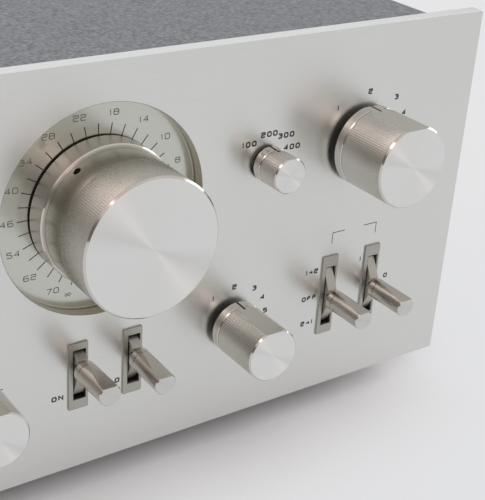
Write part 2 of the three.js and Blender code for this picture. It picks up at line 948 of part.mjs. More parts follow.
function ventTools() {
  const tools = [];
  const run = (ventCount - 1) * ventPitch;
  for (const share of ventAcrossShares) {
    for (let index = 0; index < ventCount; index += 1) {
      const x = across(share) - run / 2 + index * ventPitch;
      const outline = roundedRectangle(
        x - ventWidth / 2,
        x + ventWidth / 2,
        ventSetback,
        ventSetback + ventLength,
        ventWidth * ventCornerShare,
      );
      tools.push(slabAlongZ(outline, coverTop - coverWall - overrun, coverTop + overrun));
    }
  }
  return tools;
}

// The cover is a sheet bent down at both sides, from the back of the panel to the back of the case.
function makeTopCover() {
  const bend = coverCornerRadius;
  const inner = coverHalfWidth - coverWall;
  const innerBend = bend - coverWall;
  const outline = new THREE.Shape();
  outline.moveTo(coverHalfWidth, chassisBottom);
  outline.absarc(coverHalfWidth - bend, coverTop - bend, bend, 0, Math.PI / 2, false);
  outline.absarc(bend - coverHalfWidth, coverTop - bend, bend, Math.PI / 2, Math.PI, false);
  outline.lineTo(-coverHalfWidth, chassisBottom);
  outline.lineTo(-inner, chassisBottom);
  outline.absarc(bend - coverHalfWidth, coverTop - bend, innerBend, Math.PI, Math.PI / 2, true);
  outline.absarc(coverHalfWidth - bend, coverTop - bend, innerBend, Math.PI / 2, 0, true);
  outline.lineTo(inner, chassisBottom);
  outline.closePath();
  const sheet = slabAlongY(outline, panelThickness, caseBack, bendSegments);
  return piece('top_cover', cut(sheet, ventTools()), enamelledSteel());
}

function makeChassisTray() {
  const tray = block(
    -innerHalfWidth,
    innerHalfWidth,
    subPanelBack,
    rearPanelFront,
    chassisBottom,
    chassisBottom + trayRim,
  );
  const dish = block(
    trayWall - innerHalfWidth,
    innerHalfWidth - trayWall,
    subPanelBack + trayWall,
    rearPanelFront - trayWall,
    trayFloor,
    chassisBottom + trayRim + overrun,
  );
  return piece('chassis_tray', cut(tray, [dish]), zincedSteel());
}

const rearRow = (share) => chassisBottom + share * rearPanelHeight;

function makeRearPanel() {
  const plate = slabAlongY(uprightOutline(), rearPanelFront, caseBack, bendSegments);
  const gland = barAlongY(
    glandNeckRadius + fitGap,
    rearPanelFront - overrun,
    caseBack + overrun,
    smallFacets,
    glandAcross,
    rearRow(glandHeightShare),
  );
  return piece('rear_panel', cut(plate, [gland]), enamelledSteel());
}

function makeFoot(name, x, y) {
  const taper = footHeight * footTaperShare;
  const profile = [
    [0, footRecessDepth],
    [footRecessRadius, footRecessDepth],
    [footRecessRadius, 0],
    [footBaseRadius, 0],
    [footRadius, taper],
    [footRadius, footHeight],
    [0, footHeight],
  ];
  return placed(piece(name, turnedAboutZ(profile, roundFacets), blackRubber()), x, y, 0);
}

// Inside the case

// An iron core between two rounded bells, on a flange that is screwed to the tray
function makePowerTransformer() {
  const flangeTop = trayFloor + transformerFlange;
  const core = block(
    -transformerWidth / 2,
    transformerWidth / 2,
    -transformerDepth / 2,
    transformerDepth / 2,
    trayFloor,
    trayFloor + transformerHeight,
  );
  const bellBottom = trayFloor + (transformerHeight - bellHeight) / 2;
  const bellOutline = roundedRectangle(
    -bellWidth / 2,
    bellWidth / 2,
    bellBottom,
    bellBottom + bellHeight,
    bellCornerRadius,
  );
  const bells = slabAlongY(bellOutline, -bellDepth / 2, bellDepth / 2, bellSegments);
  const flange = block(
    -transformerWidth / 2 - transformerFlangeLap,
    transformerWidth / 2 + transformerFlangeLap,
    -transformerDepth / 2,
    transformerDepth / 2,
    trayFloor,
    flangeTop,
  );
  const transformer = piece('power_transformer', joined([core, bells, flange]), transformerPaint());
  return placed(transformer, across(transformerAcrossShare), transformerSetback, 0);
}

function makeCapacitor(name, x) {
  const top = trayFloor + capacitorHeight;
  const crimp = top - capacitorShoulder;
  const profile = [
    [0, trayFloor],
    [capacitorRadius, trayFloor],
    [capacitorRadius, crimp],
    [capacitorRadius - capacitorCrimp, crimp + capacitorCrimp],
    [capacitorRadius, crimp + 2 * capacitorCrimp],
    [capacitorRadius, top],
    [0, top],
  ];
  return placed(piece(name, turnedAboutZ(profile, roundFacets), canSleeve()), x, capacitorSetback, 0);
}

// Fins stand at an even pitch on a base plate, with the air free to rise between them.
function makeHeatSink() {
  const pitch = (sinkWidth - sinkFinThickness) / (sinkFinCount - 1);
  const outline = new THREE.Shape();
  outline.moveTo(0, 0);
  outline.lineTo(sinkWidth, 0);
  for (let index = sinkFinCount - 1; index >= 0; index -= 1) {
    const left = index * pitch;
    outline.lineTo(left + sinkFinThickness, sinkBase + sinkFinLength);
    outline.lineTo(left, sinkBase + sinkFinLength);
    if (index > 0) {
      outline.lineTo(left, sinkBase);
      outline.lineTo(left - pitch + sinkFinThickness, sinkBase);
    }
  }
  outline.closePath();
  const solid = slabAlongZ(outline, trayFloor, trayFloor + sinkHeight);
  const sink = piece('heat_sink', solid, blackedAluminium());
  return placed(sink, sinkAcross - sinkWidth / 2, sinkSetback, 0);
}

// Places spread evenly along a width, as far from its ends as from each other
function spread(count, width) {
  const step = width / (count + 1);
  return Array.from({ length: count }, (unused, index) => (index + 1) * step - width / 2);
}

// A board on four standoffs, with a row of cans and a row of power devices fused to it
function makeBoard({ name, width, depth, cans, blocks }) {
  const bottom = trayFloor + boardStandoff;
  const top = bottom + boardThickness;
  const solids = [block(-width / 2, width / 2, -depth / 2, depth / 2, bottom, top)];
  for (const x of [2 * standoffRadius - width / 2, width / 2 - 2 * standoffRadius]) {
    for (const y of [2 * standoffRadius - depth / 2, depth / 2 - 2 * standoffRadius]) {
      solids.push(barAlongZ(standoffRadius, trayFloor, top, tinyFacets, x, y));
    }
  }
  for (const x of spread(cans, width)) {
    solids.push(barAlongZ(boardCanRadius, bottom, top + boardCanHeight, tinyFacets, x, -depth / 4));
  }
  const back = depth / 2;
  for (const x of spread(blocks, width)) {
    const left = x - boardBlockWidth / 2;
    const right = x + boardBlockWidth / 2;
    solids.push(block(left, right, back - boardBlockDepth, back, bottom, top + boardBlockHeight));
  }
  return piece(name, joined(solids), boardLaminate());
}

// Sockets and terminals

function postRows(count, pitch, rowPitch, radius, length, facets) {
  const posts = [];
  for (let index = 0; index < count; index += 1) {
    const x = (index - (count - 1) / 2) * pitch;
    for (const z of [-rowPitch / 2, rowPitch / 2]) {
      posts.push(barAlongY(radius, 0, length, facets, x, z));
    }
  }
  return posts;
}

function makePhonoJacks() {
  const plate = block(
    -socketPlateWidth / 2,
    socketPlateWidth / 2,
    0,
    socketPlateThickness,
    -socketPlateHeight / 2,
    socketPlateHeight / 2,
  );
  const length = socketPlateThickness + socketLength;
  const sockets = postRows(socketCount, socketPitch, socketRowPitch, socketRadius, length, tinyFacets);
  const jacks = piece('phono_jacks', joined([plate, ...sockets]), nickelledSteel());
  return placed(jacks, socketPlateAcross, caseBack, rearRow(socketPlateHeightShare));
}

function makeSpeakerTerminals() {
  const plate = block(
    -terminalPlateWidth / 2,
    terminalPlateWidth / 2,
    0,
    socketPlateThickness,
    -terminalPlateHeight / 2,
    terminalPlateHeight / 2,
  );
  const length = socketPlateThickness + terminalPostLength;
  const posts = postRows(
    terminalPostCount,
    terminalPostPitch,
    terminalRowPitch,
    terminalPostRadius,
    length,
    tinyFacets,
  );
  const terminals = piece('speaker_terminals', joined([plate, ...posts]), blackPlastic());
  return placed(terminals, terminalPlateAcross, caseBack, rearRow(terminalPlateHeightShare));
}

function makeGroundTerminal() {
  const profile = [
    [0, 0],
    [groundPlateRadius, 0],
    [groundPlateRadius, socketPlateThickness],
    [groundNutRadius, socketPlateThickness],
    [groundNutRadius, socketPlateThickness + groundNutLength],
    [0, socketPlateThickness + groundNutLength],
  ];
  const terminal = piece('ground_terminal', turnedAboutY(profile, smallFacets), nickelledSteel());
  return placed(terminal, groundAcross, caseBack, rearRow(groundHeightShare));
}

// The gland holds the rear panel between its two flanges.
function makeMainsGland() {
  const innerFace = rearPanelFront - caseBack;
  const tail = innerFace - glandTail;
  const profile = [
    [glandBoreRadius, tail],
    [glandNeckRadius, tail],
    [glandNeckRadius, 0],
    [glandFlangeRadius, 0],
    [glandFlangeRadius - glandFlangeLength / 2, glandFlangeLength],
    [glandBoreRadius, glandFlangeLength],
    [glandBoreRadius, tail],
  ];
  const gland = piece('mains_gland', turnedAboutY(profile, smallFacets), blackPlastic());
  return placed(gland, glandAcross, caseBack, rearRow(glandHeightShare));
}

// The whole amplifier

const amplifier = new THREE.Group();
amplifier.add(makeFrontPanel());
amplifier.add(makeFrontSubPanel());
amplifier.add(makeVolumeDial());
amplifier.add(makeVolumeGroup());
rotaries.forEach((rotary) => amplifier.add(makeRotaryGroup(rotary)));
levers.forEach((lever) => amplifier.add(makeLeverGroup(lever)));
amplifier.add(makeHeadphoneGroup());
amplifier.add(makeTopCover());
amplifier.add(makeChassisTray());
amplifier.add(makeRearPanel());

const footReach = panelWidth / 2 - footInset;
const rearFootSetback = caseBack - footSetback;
amplifier.add(makeFoot('foot_front_left', -footReach, footSetback));
amplifier.add(makeFoot('foot_front_right', footReach, footSetback));
amplifier.add(makeFoot('foot_rear_left', -footReach, rearFootSetback));
amplifier.add(makeFoot('foot_rear_right', footReach, rearFootSetback));

amplifier.add(makePowerTransformer());
amplifier.add(makeCapacitor('capacitor_left', across(capacitorAcrossShare) - capacitorPitch / 2));
amplifier.add(makeCapacitor('capacitor_right', across(capacitorAcrossShare) + capacitorPitch / 2));
amplifier.add(makeHeatSink());
const amplifierBoard = makeBoard({
  name: 'power_amplifier_board',
  width: amplifierBoardWidth,
  depth: amplifierBoardDepth,
  cans: amplifierBoardCans,
  blocks: amplifierBoardBlocks,
});
amplifier.add(placed(amplifierBoard, sinkAcross, amplifierBoardSetback, 0));
const phonoBoard = makeBoard({
  name: 'phono_board',
  width: phonoBoardWidth,
  depth: phonoBoardDepth,
  cans: phonoBoardCans,
  blocks: phonoBoardBlocks,
});
amplifier.add(placed(phonoBoard, phonoBoardAcross, phonoBoardSetback, 0));
amplifier.add(makePhonoJacks());
amplifier.add(makeSpeakerTerminals());
amplifier.add(makeGroundTerminal());
amplifier.add(makeMainsGland());

// The rearmost point is the end of the longest post on the back, and the foremost is the volume knob.
const rearPosts = Math.max(socketLength, terminalPostLength, groundNutLength);
const rearmost = caseBack + socketPlateThickness + rearPosts;
amplifier.position.y = (volumeProjection - rearmost) / 2;

export default amplifier;
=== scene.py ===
"""Looks of an integrated amplifier with a brushed front plate, turned knobs and lever switches.

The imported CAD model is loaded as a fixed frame. Each sub-assembly reads the boxes and joints of its
own CAD nodes, builds smoother meshes in the same place and gives every surface its finish. Meshes
are drawn in millimetres about a centre of their own and are turned to metres when they are placed.
"""

from __future__ import annotations

import json
import logging
import math
from dataclasses import dataclass
from enum import Enum, IntEnum
from functools import cache, partial
from typing import Any, NamedTuple, Sequence

import bmesh
import bpy
from mathutils import Matrix, Vector

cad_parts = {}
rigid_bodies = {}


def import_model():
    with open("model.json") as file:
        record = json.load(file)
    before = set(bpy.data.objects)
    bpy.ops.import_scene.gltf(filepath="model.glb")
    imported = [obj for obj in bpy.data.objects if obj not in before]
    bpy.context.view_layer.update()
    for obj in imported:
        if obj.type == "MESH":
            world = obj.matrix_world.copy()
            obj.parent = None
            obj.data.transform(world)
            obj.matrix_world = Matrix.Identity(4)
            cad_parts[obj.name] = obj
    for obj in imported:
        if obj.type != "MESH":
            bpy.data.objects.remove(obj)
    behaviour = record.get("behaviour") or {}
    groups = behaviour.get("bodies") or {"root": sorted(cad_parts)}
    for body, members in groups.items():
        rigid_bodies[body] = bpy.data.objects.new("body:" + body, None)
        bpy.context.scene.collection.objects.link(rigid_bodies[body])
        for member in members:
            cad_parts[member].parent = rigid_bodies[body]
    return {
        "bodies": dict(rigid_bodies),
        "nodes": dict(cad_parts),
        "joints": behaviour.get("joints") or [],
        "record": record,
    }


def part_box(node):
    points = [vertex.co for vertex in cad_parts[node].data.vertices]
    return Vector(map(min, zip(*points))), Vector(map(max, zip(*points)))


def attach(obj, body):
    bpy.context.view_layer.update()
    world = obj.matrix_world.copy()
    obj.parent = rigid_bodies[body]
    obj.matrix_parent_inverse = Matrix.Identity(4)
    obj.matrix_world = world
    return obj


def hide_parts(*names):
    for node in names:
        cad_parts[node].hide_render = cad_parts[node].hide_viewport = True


LOG = logging.getLogger("amplifier")
MM = 0.001
CHASSIS = "chassis"
TURNED_ATTRIBUTE = "turned"
Point = tuple[float, float, float]
# Weight of the slow change of tone beside the marks, and where their sum starts to count.
CLOUD_SHARE = 0.35
TONE_START = 0.35
# Marks of brushing are squeezed by this along X in their noise, which draws them out long.
BRUSHED_SQUEEZE = 0.015
COAT_ROUGHNESS = 0.08


# Colour and shader helpers


def linear(colour: str) -> tuple[float, float, float, float]:
    """Turns an sRGB colour into the linear one that shaders read.

    Args:
        colour: six hexadecimal digits.

    Returns:
        Red, green, blue and an alpha of one.
    """
    channels = [int(colour[start : start + 2], 16) / 255 for start in (0, 2, 4)]
    red, green, blue = (
        c / 12.92 if c <= 0.04045 else ((c + 0.055) / 1.055) ** 2.4 for c in channels
    )
    return red, green, blue, 1.0


def add_node(
    tree: bpy.types.NodeTree,
    kind: str,
    settings: dict[str, Any] | None = None,
    inputs: dict[str | int, Any] | None = None,
) -> bpy.types.Node:
    """Adds a node with its settings and links.

    Args:
        tree: the tree that gets the node.
        kind: the node's type name.
        settings: attributes of the node itself.
        inputs: a value or a socket to link, for each input by name or index.

    Returns:
        The new node.
    """
    node = tree.nodes.new(kind)
    for name, value in (settings or {}).items():
        setattr(node, name, value)
    for key, value in (inputs or {}).items():
        if isinstance(value, bpy.types.NodeSocket):
            tree.links.new(value, node.inputs[key])
        else:
            node.inputs[key].default_value = value
    return node


def seen_directly(tree: bpy.types.NodeTree) -> bpy.types.NodeSocket:
    """Adds a socket that is one for rays from the camera, from gloss and through glass.

    Args:
        tree: the tree of a floor or sky.

    Returns:
        The socket.
    """
    path = add_node(tree, "ShaderNodeLightPath").outputs
    seen = path["Is Camera Ray"]
    for ray in ("Is Glossy Ray", "Is Transmission Ray"):
        larger = {0: seen, 1: path[ray]}
        seen = add_node(tree, "ShaderNodeMath", {"operation": "MAXIMUM"}, larger).outputs[0]
    return seen


class Texture(Enum):
    """What the fine texture of a surface follows."""

    GRAIN = "grain"
    BRUSHED = "brushed"
    TURNED = "turned"


@dataclass(frozen=True)
class Finish:
    """A surface: what it is made of and the marks that making it left.

    Args:
        name: the finish in a maker's words.
        colour: its sRGB colour.
        metallic: one for bare metal.
        roughness: the shader's roughness.
        grain: size of a mark in millimetres.
        spread: share by which the marks lighten and darken the colour.
        relief: depth of the marks in millimetres.
        texture: what the fine marks follow.
        anisotropy: how far the marks stretch a highlight across them.
        coat: weight of a clear layer on top.
        cloud: size in millimetres of the slow change of tone, such as handling leaves.
    """

    name: str
    colour: str
    metallic: float
    roughness: float
    grain: float
    spread: float
    relief: float
    texture: Texture = Texture.GRAIN
    anisotropy: float = 0.0
    coat: float = 0.0
    cloud: float = 45.0

    def build(self) -> bpy.types.Material:
        """Makes the material of this finish.

        Returns:
            The material, whose tree reads the piece's own coordinates.
        """
        material = bpy.data.materials.new(self.name)
        material.use_nodes = True
        tree = material.node_tree
        tree.nodes.clear()
        add = partial(add_node, tree)
        place = add("ShaderNodeTexCoord").outputs["Object"]
        marks = self._marks(tree, place)
        slow = {"Vector": place, "Scale": 1 / (self.cloud * MM), "Detail": 2.0}
        cloud = add("ShaderNodeTexNoise", inputs=slow).outputs["Fac"]
        share = {0: cloud, 1: CLOUD_SHARE, 2: marks}
        mixed = add("ShaderNodeMath", {"operation": "MULTIPLY_ADD"}, share).outputs[0]
        ramps = (
            {"Value": mixed, "From Min": TONE_START, "To Min": level - by, "To Max": level + by}
            for level, by in ((1.0, self.spread), (self.roughness, 0.1 * self.roughness))
        )
        tone, roughness = (add("ShaderNodeMapRange", inputs=ramp).outputs[0] for ramp in ramps)
        scaled = {0: linear(self.colour)[:3], "Scale": tone}
        bump = {"Strength": 1.0, "Distance": self.relief * MM, "Height": marks}
        surface = {
            "Base Color": add("ShaderNodeVectorMath", {"operation": "SCALE"}, scaled).outputs[0],
            "Metallic": self.metallic,
            "Roughness": roughness,
            "Normal": add("ShaderNodeBump", inputs=bump).outputs[0],
            "Anisotropic": self.anisotropy,
            "Coat Weight": self.coat,
            "Coat Roughness": COAT_ROUGHNESS,
        }
        if self.anisotropy:
            surface["Tangent"] = self._across_marks(tree)
        shader = add("ShaderNodeBsdfPrincipled", inputs=surface)
        add("ShaderNodeOutputMaterial", inputs={0: shader.outputs[0]})
        return material

    def _marks(
        self, tree: bpy.types.NodeTree, place: bpy.types.NodeSocket
    ) -> bpy.types.NodeSocket:
        """Adds the noise that draws the tool marks.

        Args:
            tree: the material's tree.
            place: the socket with the point on the object.

        Returns:
            The socket with the height of the marks, from zero to one.
        """
        add = partial(add_node, tree)
        if self.texture is Texture.TURNED:
            turned = add("ShaderNodeAttribute", {"attribute_name": TURNED_ATTRIBUTE})
            split = add("ShaderNodeSeparateXYZ", inputs={0: turned.outputs["Vector"]}).outputs
            flat = add("ShaderNodeCombineXYZ", inputs={0: split[0], 1: split[2]}).outputs[0]
            length = add("ShaderNodeVectorMath", {"operation": "LENGTH"}, {0: flat})
            radius = length.outputs["Value"]
            place = add("ShaderNodeCombineXYZ", inputs={0: radius, 1: split[1]}).outputs[0]
        elif self.texture is Texture.BRUSHED:
            stretched = {"Vector": place, "Scale": (BRUSHED_SQUEEZE, 1.0, 1.0)}
            place = add("ShaderNodeMapping", inputs=stretched).outputs[0]
        fine = {"Vector": place, "Scale": 1 / (self.grain * MM), "Detail": 3.0, "Roughness": 0.6}
        return add("ShaderNodeTexNoise", inputs=fine).outputs["Fac"]

    def _across_marks(self, tree: bpy.types.NodeTree) -> bpy.types.NodeSocket:
        """Adds the direction across the tool marks, which highlights stretch along.

        Args:
            tree: the material's tree.

        Returns:
            The socket with the direction.
        """
        add = partial(add_node, tree)
        if self.texture is Texture.BRUSHED:
            return add("ShaderNodeCombineXYZ", inputs={"Z": 1.0}).outputs[0]
        cross = {"operation": "CROSS_PRODUCT"}
        local = add("ShaderNodeAttribute", {"attribute_name": TURNED_ATTRIBUTE}).outputs["Vector"]
        around = add("ShaderNodeVectorMath", cross, {0: (0.0, 1.0, 0.0), 1: local}).outputs[0]
        spaces = {"vector_type": "VECTOR", "convert_from": "OBJECT", "convert_to": "WORLD"}
        world = add("ShaderNodeVectorTransform", spaces, {0: around}).outputs[0]
        normal = add("ShaderNodeNewGeometry").outputs["Normal"]
        across = add("ShaderNodeVectorMath", cross, {0: normal, 1: world}).outputs[0]
        return add("ShaderNodeVectorMath", {"operation": "NORMALIZE"}, {0: across}).outputs[0]


# Brushed and turned marks are really about 0.05 mm apart. They are drawn a few times coarser, so
# that they show at all.

# Plate drawn along X by a belt and clear anodised: fine level lines and a wide soft sheen.
PLATE = Finish(
    "brushed_anodised_aluminium", "DEDEDB", 1, 0.3, 0.25, 0.035, 0.0015, Texture.BRUSHED, 0.5
)
# Its edges are cut with a diamond tool: brighter and smoother than the face.
CHAMFER = Finish("diamond_cut_aluminium", "F3F6F6", 1, 0.28, 0.5, 0.02, 0.001, Texture.BRUSHED)
# End faces of the knobs, faced on a lathe: fine rings, and a highlight in the shape of a fan.
SPUN = Finish("spun_aluminium", "F9F9F7", 1, 0.5, 0.2, 0.025, 0.002, Texture.TURNED, 0.94)
# Their sides, turned and anodised in a warm clear tone: a sheen drawn out along the knob.
TURNED_SIDE = Finish(
    "turned_anodised_aluminium", "D2CFC7", 1, 0.24, 0.25, 0.03, 0.001, Texture.TURNED, 0.3
)
# Barrels of the levers, turned alike and a little darker.
BARREL = Finish("turned_lever_barrel", "C6C1BA", 1, 0.22, 0.25, 0.03, 0.001, Texture.TURNED, 0.3)
# Their tips, faced pale and satin.
TIP = Finish("faced_lever_tip", "DADAD8", 1, 0.44, 0.2, 0.03, 0.002, Texture.TURNED, 0.85)
# Rims cut bright: thin lines that mirror the room.
BRIGHT = Finish("bright_cut_aluminium", "D2CDC6", 1, 0.12, 0.4, 0.015, 0.0005, Texture.TURNED)
# The volume knob's flange, burnished: it shows the dial round it, darkened and soft.
FLANGE = Finish("burnished_aluminium_flange", "CCC4BC", 1, 0.33, 0.4, 0.02, 0.0005, Texture.TURNED)
# A straight knurl so fine that it only draws faint lines in the highlight.
KNURL = Finish("straight_knurled_aluminium", "D2CFC8", 1, 0.28, 0.4, 0.03, 0.001)
# The dial, turned and tinted: a pale greenish grey with a soft sheen.
DIAL = Finish("green_grey_anodised_dial", "C9CAC2", 1, 0.2, 0.3, 0.03, 0.002, Texture.TURNED, 0.3)
# Wall of the dial's opening, bored. Its warmer and darker colour is painted shade and a painted warm
# reflection in the recess.
SHADED_BORE_WALL = Finish("bored_aluminium_wall", "B3AA9A", 1, 0.25, 0.4, 0.03, 0.001)
# Stamped brass, nickelled satin: an even mid grey.
ESCUTCHEON = Finish("satin_nickelled_brass", "B2B0A8", 1, 0.4, 0.25, 0.04, 0.002, Texture.BRUSHED)
# Die cast, tumbled and nickelled: dull, with rounded edges.
ROCKER = Finish("tumbled_nickel", "B9B4AC", 1, 0.4, 0.5, 0.04, 0.002)
# Stoved enamel on steel: light and dark flecks over a fine orange peel.
ENAMEL = Finish("hammered_grey_enamel", "6A7075", 0.1, 0.55, 1.4, 0.85, 0.06, cloud=4.0)
# Zinc plate: dull, with the mottle of its crystals.
ZINC = Finish("zinc_plated_steel", "A9AAA5", 1, 0.42, 4.0, 0.12, 0.004)
# Sawn and black anodised: near black with a faint metal sheen.
BLACK_ALUMINIUM = Finish("black_anodised_aluminium", "26282C", 0.6, 0.45, 0.5, 0.05, 0.002)
# Bright nickel: an almost clear mirror, slightly yellow.
NICKEL = Finish("bright_nickel_plate", "CFCFCB", 1, 0.14, 1.0, 0.02, 0.0005)
# Moulded rubber: matt and faintly dusty.
RUBBER = Finish("moulded_rubber", "1D1D1D", 0, 0.8, 0.5, 0.12, 0.01)
# Moulded ABS: black with a soft shine.
BLACK_PLASTIC = Finish("moulded_abs", "1F1F20", 0, 0.42, 0.4, 0.08, 0.004)
# Pressed phenolic: a brownish black.
SWITCH_CASE = Finish("phenolic_moulding", "2B2723", 0, 0.5, 0.6, 0.1, 0.004)
# Moulded polythene, waxy, in the two colours that tell left from right.
WHITE_PLASTIC = Finish("white_polythene", "D9D6CC", 0, 0.4, 0.5, 0.03, 0.002)
RED_PLASTIC = Finish("red_polythene", "A3201C", 0, 0.38, 0.5, 0.05, 0.002)
# Shrunk sleeve of the capacitors: dark blue under a gloss.
SLEEVE = Finish("shrink_sleeve", "2B3552", 0, 0.35, 2.0, 0.05, 0.004, coat=0.4)
# Bonded paper board: an even amber brown.
LAMINATE = Finish("paper_laminate", "9B7642", 0, 0.55, 1.2, 0.08, 0.004)
# Stacked and dipped steel: black with the edges of the sheets showing.
VARNISH = Finish(
    "varnished_steel_laminations", "2D2D2F", 0.4, 0.45, 0.5, 0.15, 0.02, Texture.BRUSHED
)
# Screen printed inks, matt against the metal: black, thin grey on the dial, pale on the back.
INK = Finish("screen_printed_ink", "2E2D2B", 0, 0.55, 0.2, 0.05, 0.001)
DIAL_INK = Finish("thin_grey_ink", "6A6861", 0, 0.55, 0.2, 0.05, 0.001)
PALE_INK = Finish("pale_screen_ink", "C9C9C4", 0, 0.55, 0.2, 0.05, 0.001)
# Blackened steel: dark, with a dull metal shine.
BLACK_SCREW = Finish("black_oxide_screw", "2A2A2B", 0.7, 0.4, 0.5, 0.08, 0.002)
# Paint wiped into a cut mark.
PAINT_IN_MARK = Finish("black_filled_mark", "1A1816", 0, 0.5, 0.3, 0.05, 0.001)

SLOT_FINISHES = {
    "brushed_aluminium": PLATE,
    "turned_aluminium": TURNED_SIDE,
    "anodised_dial": DIAL,
    "escutcheon": SWITCH_CASE,
    "enamelled_steel": ENAMEL,
    "zinced_steel": ZINC,
    "blacked_aluminium": BLACK_ALUMINIUM,
    "nickelled_steel": NICKEL,
    "black_rubber": RUBBER,
    "black_plastic": BLACK_PLASTIC,
    "can_sleeve": SLEEVE,
    "board_laminate": LAMINATE,
    "transformer_paint": VARNISH,
}


@cache
def paint(finish: Finish) -> bpy.types.Material:
    """Returns the material of a finish, made on its first use."""
    return finish.build()


# Mesh helpers

# A station of a profile, as radius, depth and where needed zone, and a loop of a mesh.
Station = tuple[float, float] | tuple[float, float, int]
Loop = Sequence[bmesh.types.BMVert]
# Millimetres under which two points are one: of an outline, and of a finished mesh.
SAME_POINT = 1e-5
MERGE_REACH = 1e-4


class Ring(NamedTuple):
    """A station of a turned profile, and the zone of the surface from it to the next station."""

    radius: float
    depth: float
    zone: int = 0


@dataclass(frozen=True)
class Outline:
    """A rectangle with round corners in X and Z, which is a circle where the corners meet.

    Args:
        x: middle across.
        z: middle up.
        width: size across.
        height: size up.
        corner: radius of the corners.
        steps: straight pieces in each corner.
    """

    x: float
    z: float
    width: float
    height: float
    corner: float
    steps: int = 6

    @classmethod
    def circle(cls, x: float, z: float, radius: float, steps: int) -> Outline:
        """Returns a circle drawn as four quarter corners."""
        return cls(x, z, 2 * radius, 2 * radius, radius, steps)

    def points(self, grow: float, depth: float) -> list[Vector]:
        """Lists the outline's points, counter-clockwise as seen from behind the Z and X axes.

        Args:
            grow: how far the outline moves outwards.
            depth: the points' Y.

        Returns:
            The points in order.
        """
        corner = max(self.corner + grow, 0.0)
        half_width = self.width / 2 + grow - corner
        half_height = self.height / 2 + grow - corner
        found = []
        for quarter, (side, rise) in enumerate(((1, 1), (-1, 1), (-1, -1), (1, -1))):
            for step in range(self.steps + 1):
                angle = math.radians(90) * (quarter + step / self.steps)
                x = self.x + side * half_width + corner * math.cos(angle)
                z = self.z + rise * half_height + corner * math.sin(angle)
                point = Vector((x, depth, z))
                if not found or (point - found[-1]).length > SAME_POINT:
                    found.append(point)
        if (found[0] - found[-1]).length <= SAME_POINT:
            found.pop()
        return found


def slice_off(
    mesh: bmesh.types.BMesh, point: Sequence[float], normal: Sequence[float]
) -> list[bmesh.types.BMFace]:
    """Cuts away what lies beyond a plane and closes each cut.

    Args:
        mesh: one or more closed shells.
        point: a point of the plane.
        normal: the direction that is cut away.

    Returns:
        The faces that close the cuts.
    """
    everything = [*mesh.verts, *mesh.edges, *mesh.faces]
    plane = {"plane_co": Vector(point), "plane_no": Vector(normal)}
    cut = bmesh.ops.bisect_plane(mesh, geom=everything, clear_outer=True, **plane)["geom_cut"]
    rims = [item for item in cut if isinstance(item, bmesh.types.BMEdge)]
    return bmesh.ops.holes_fill(mesh, edges=rims)["faces"]


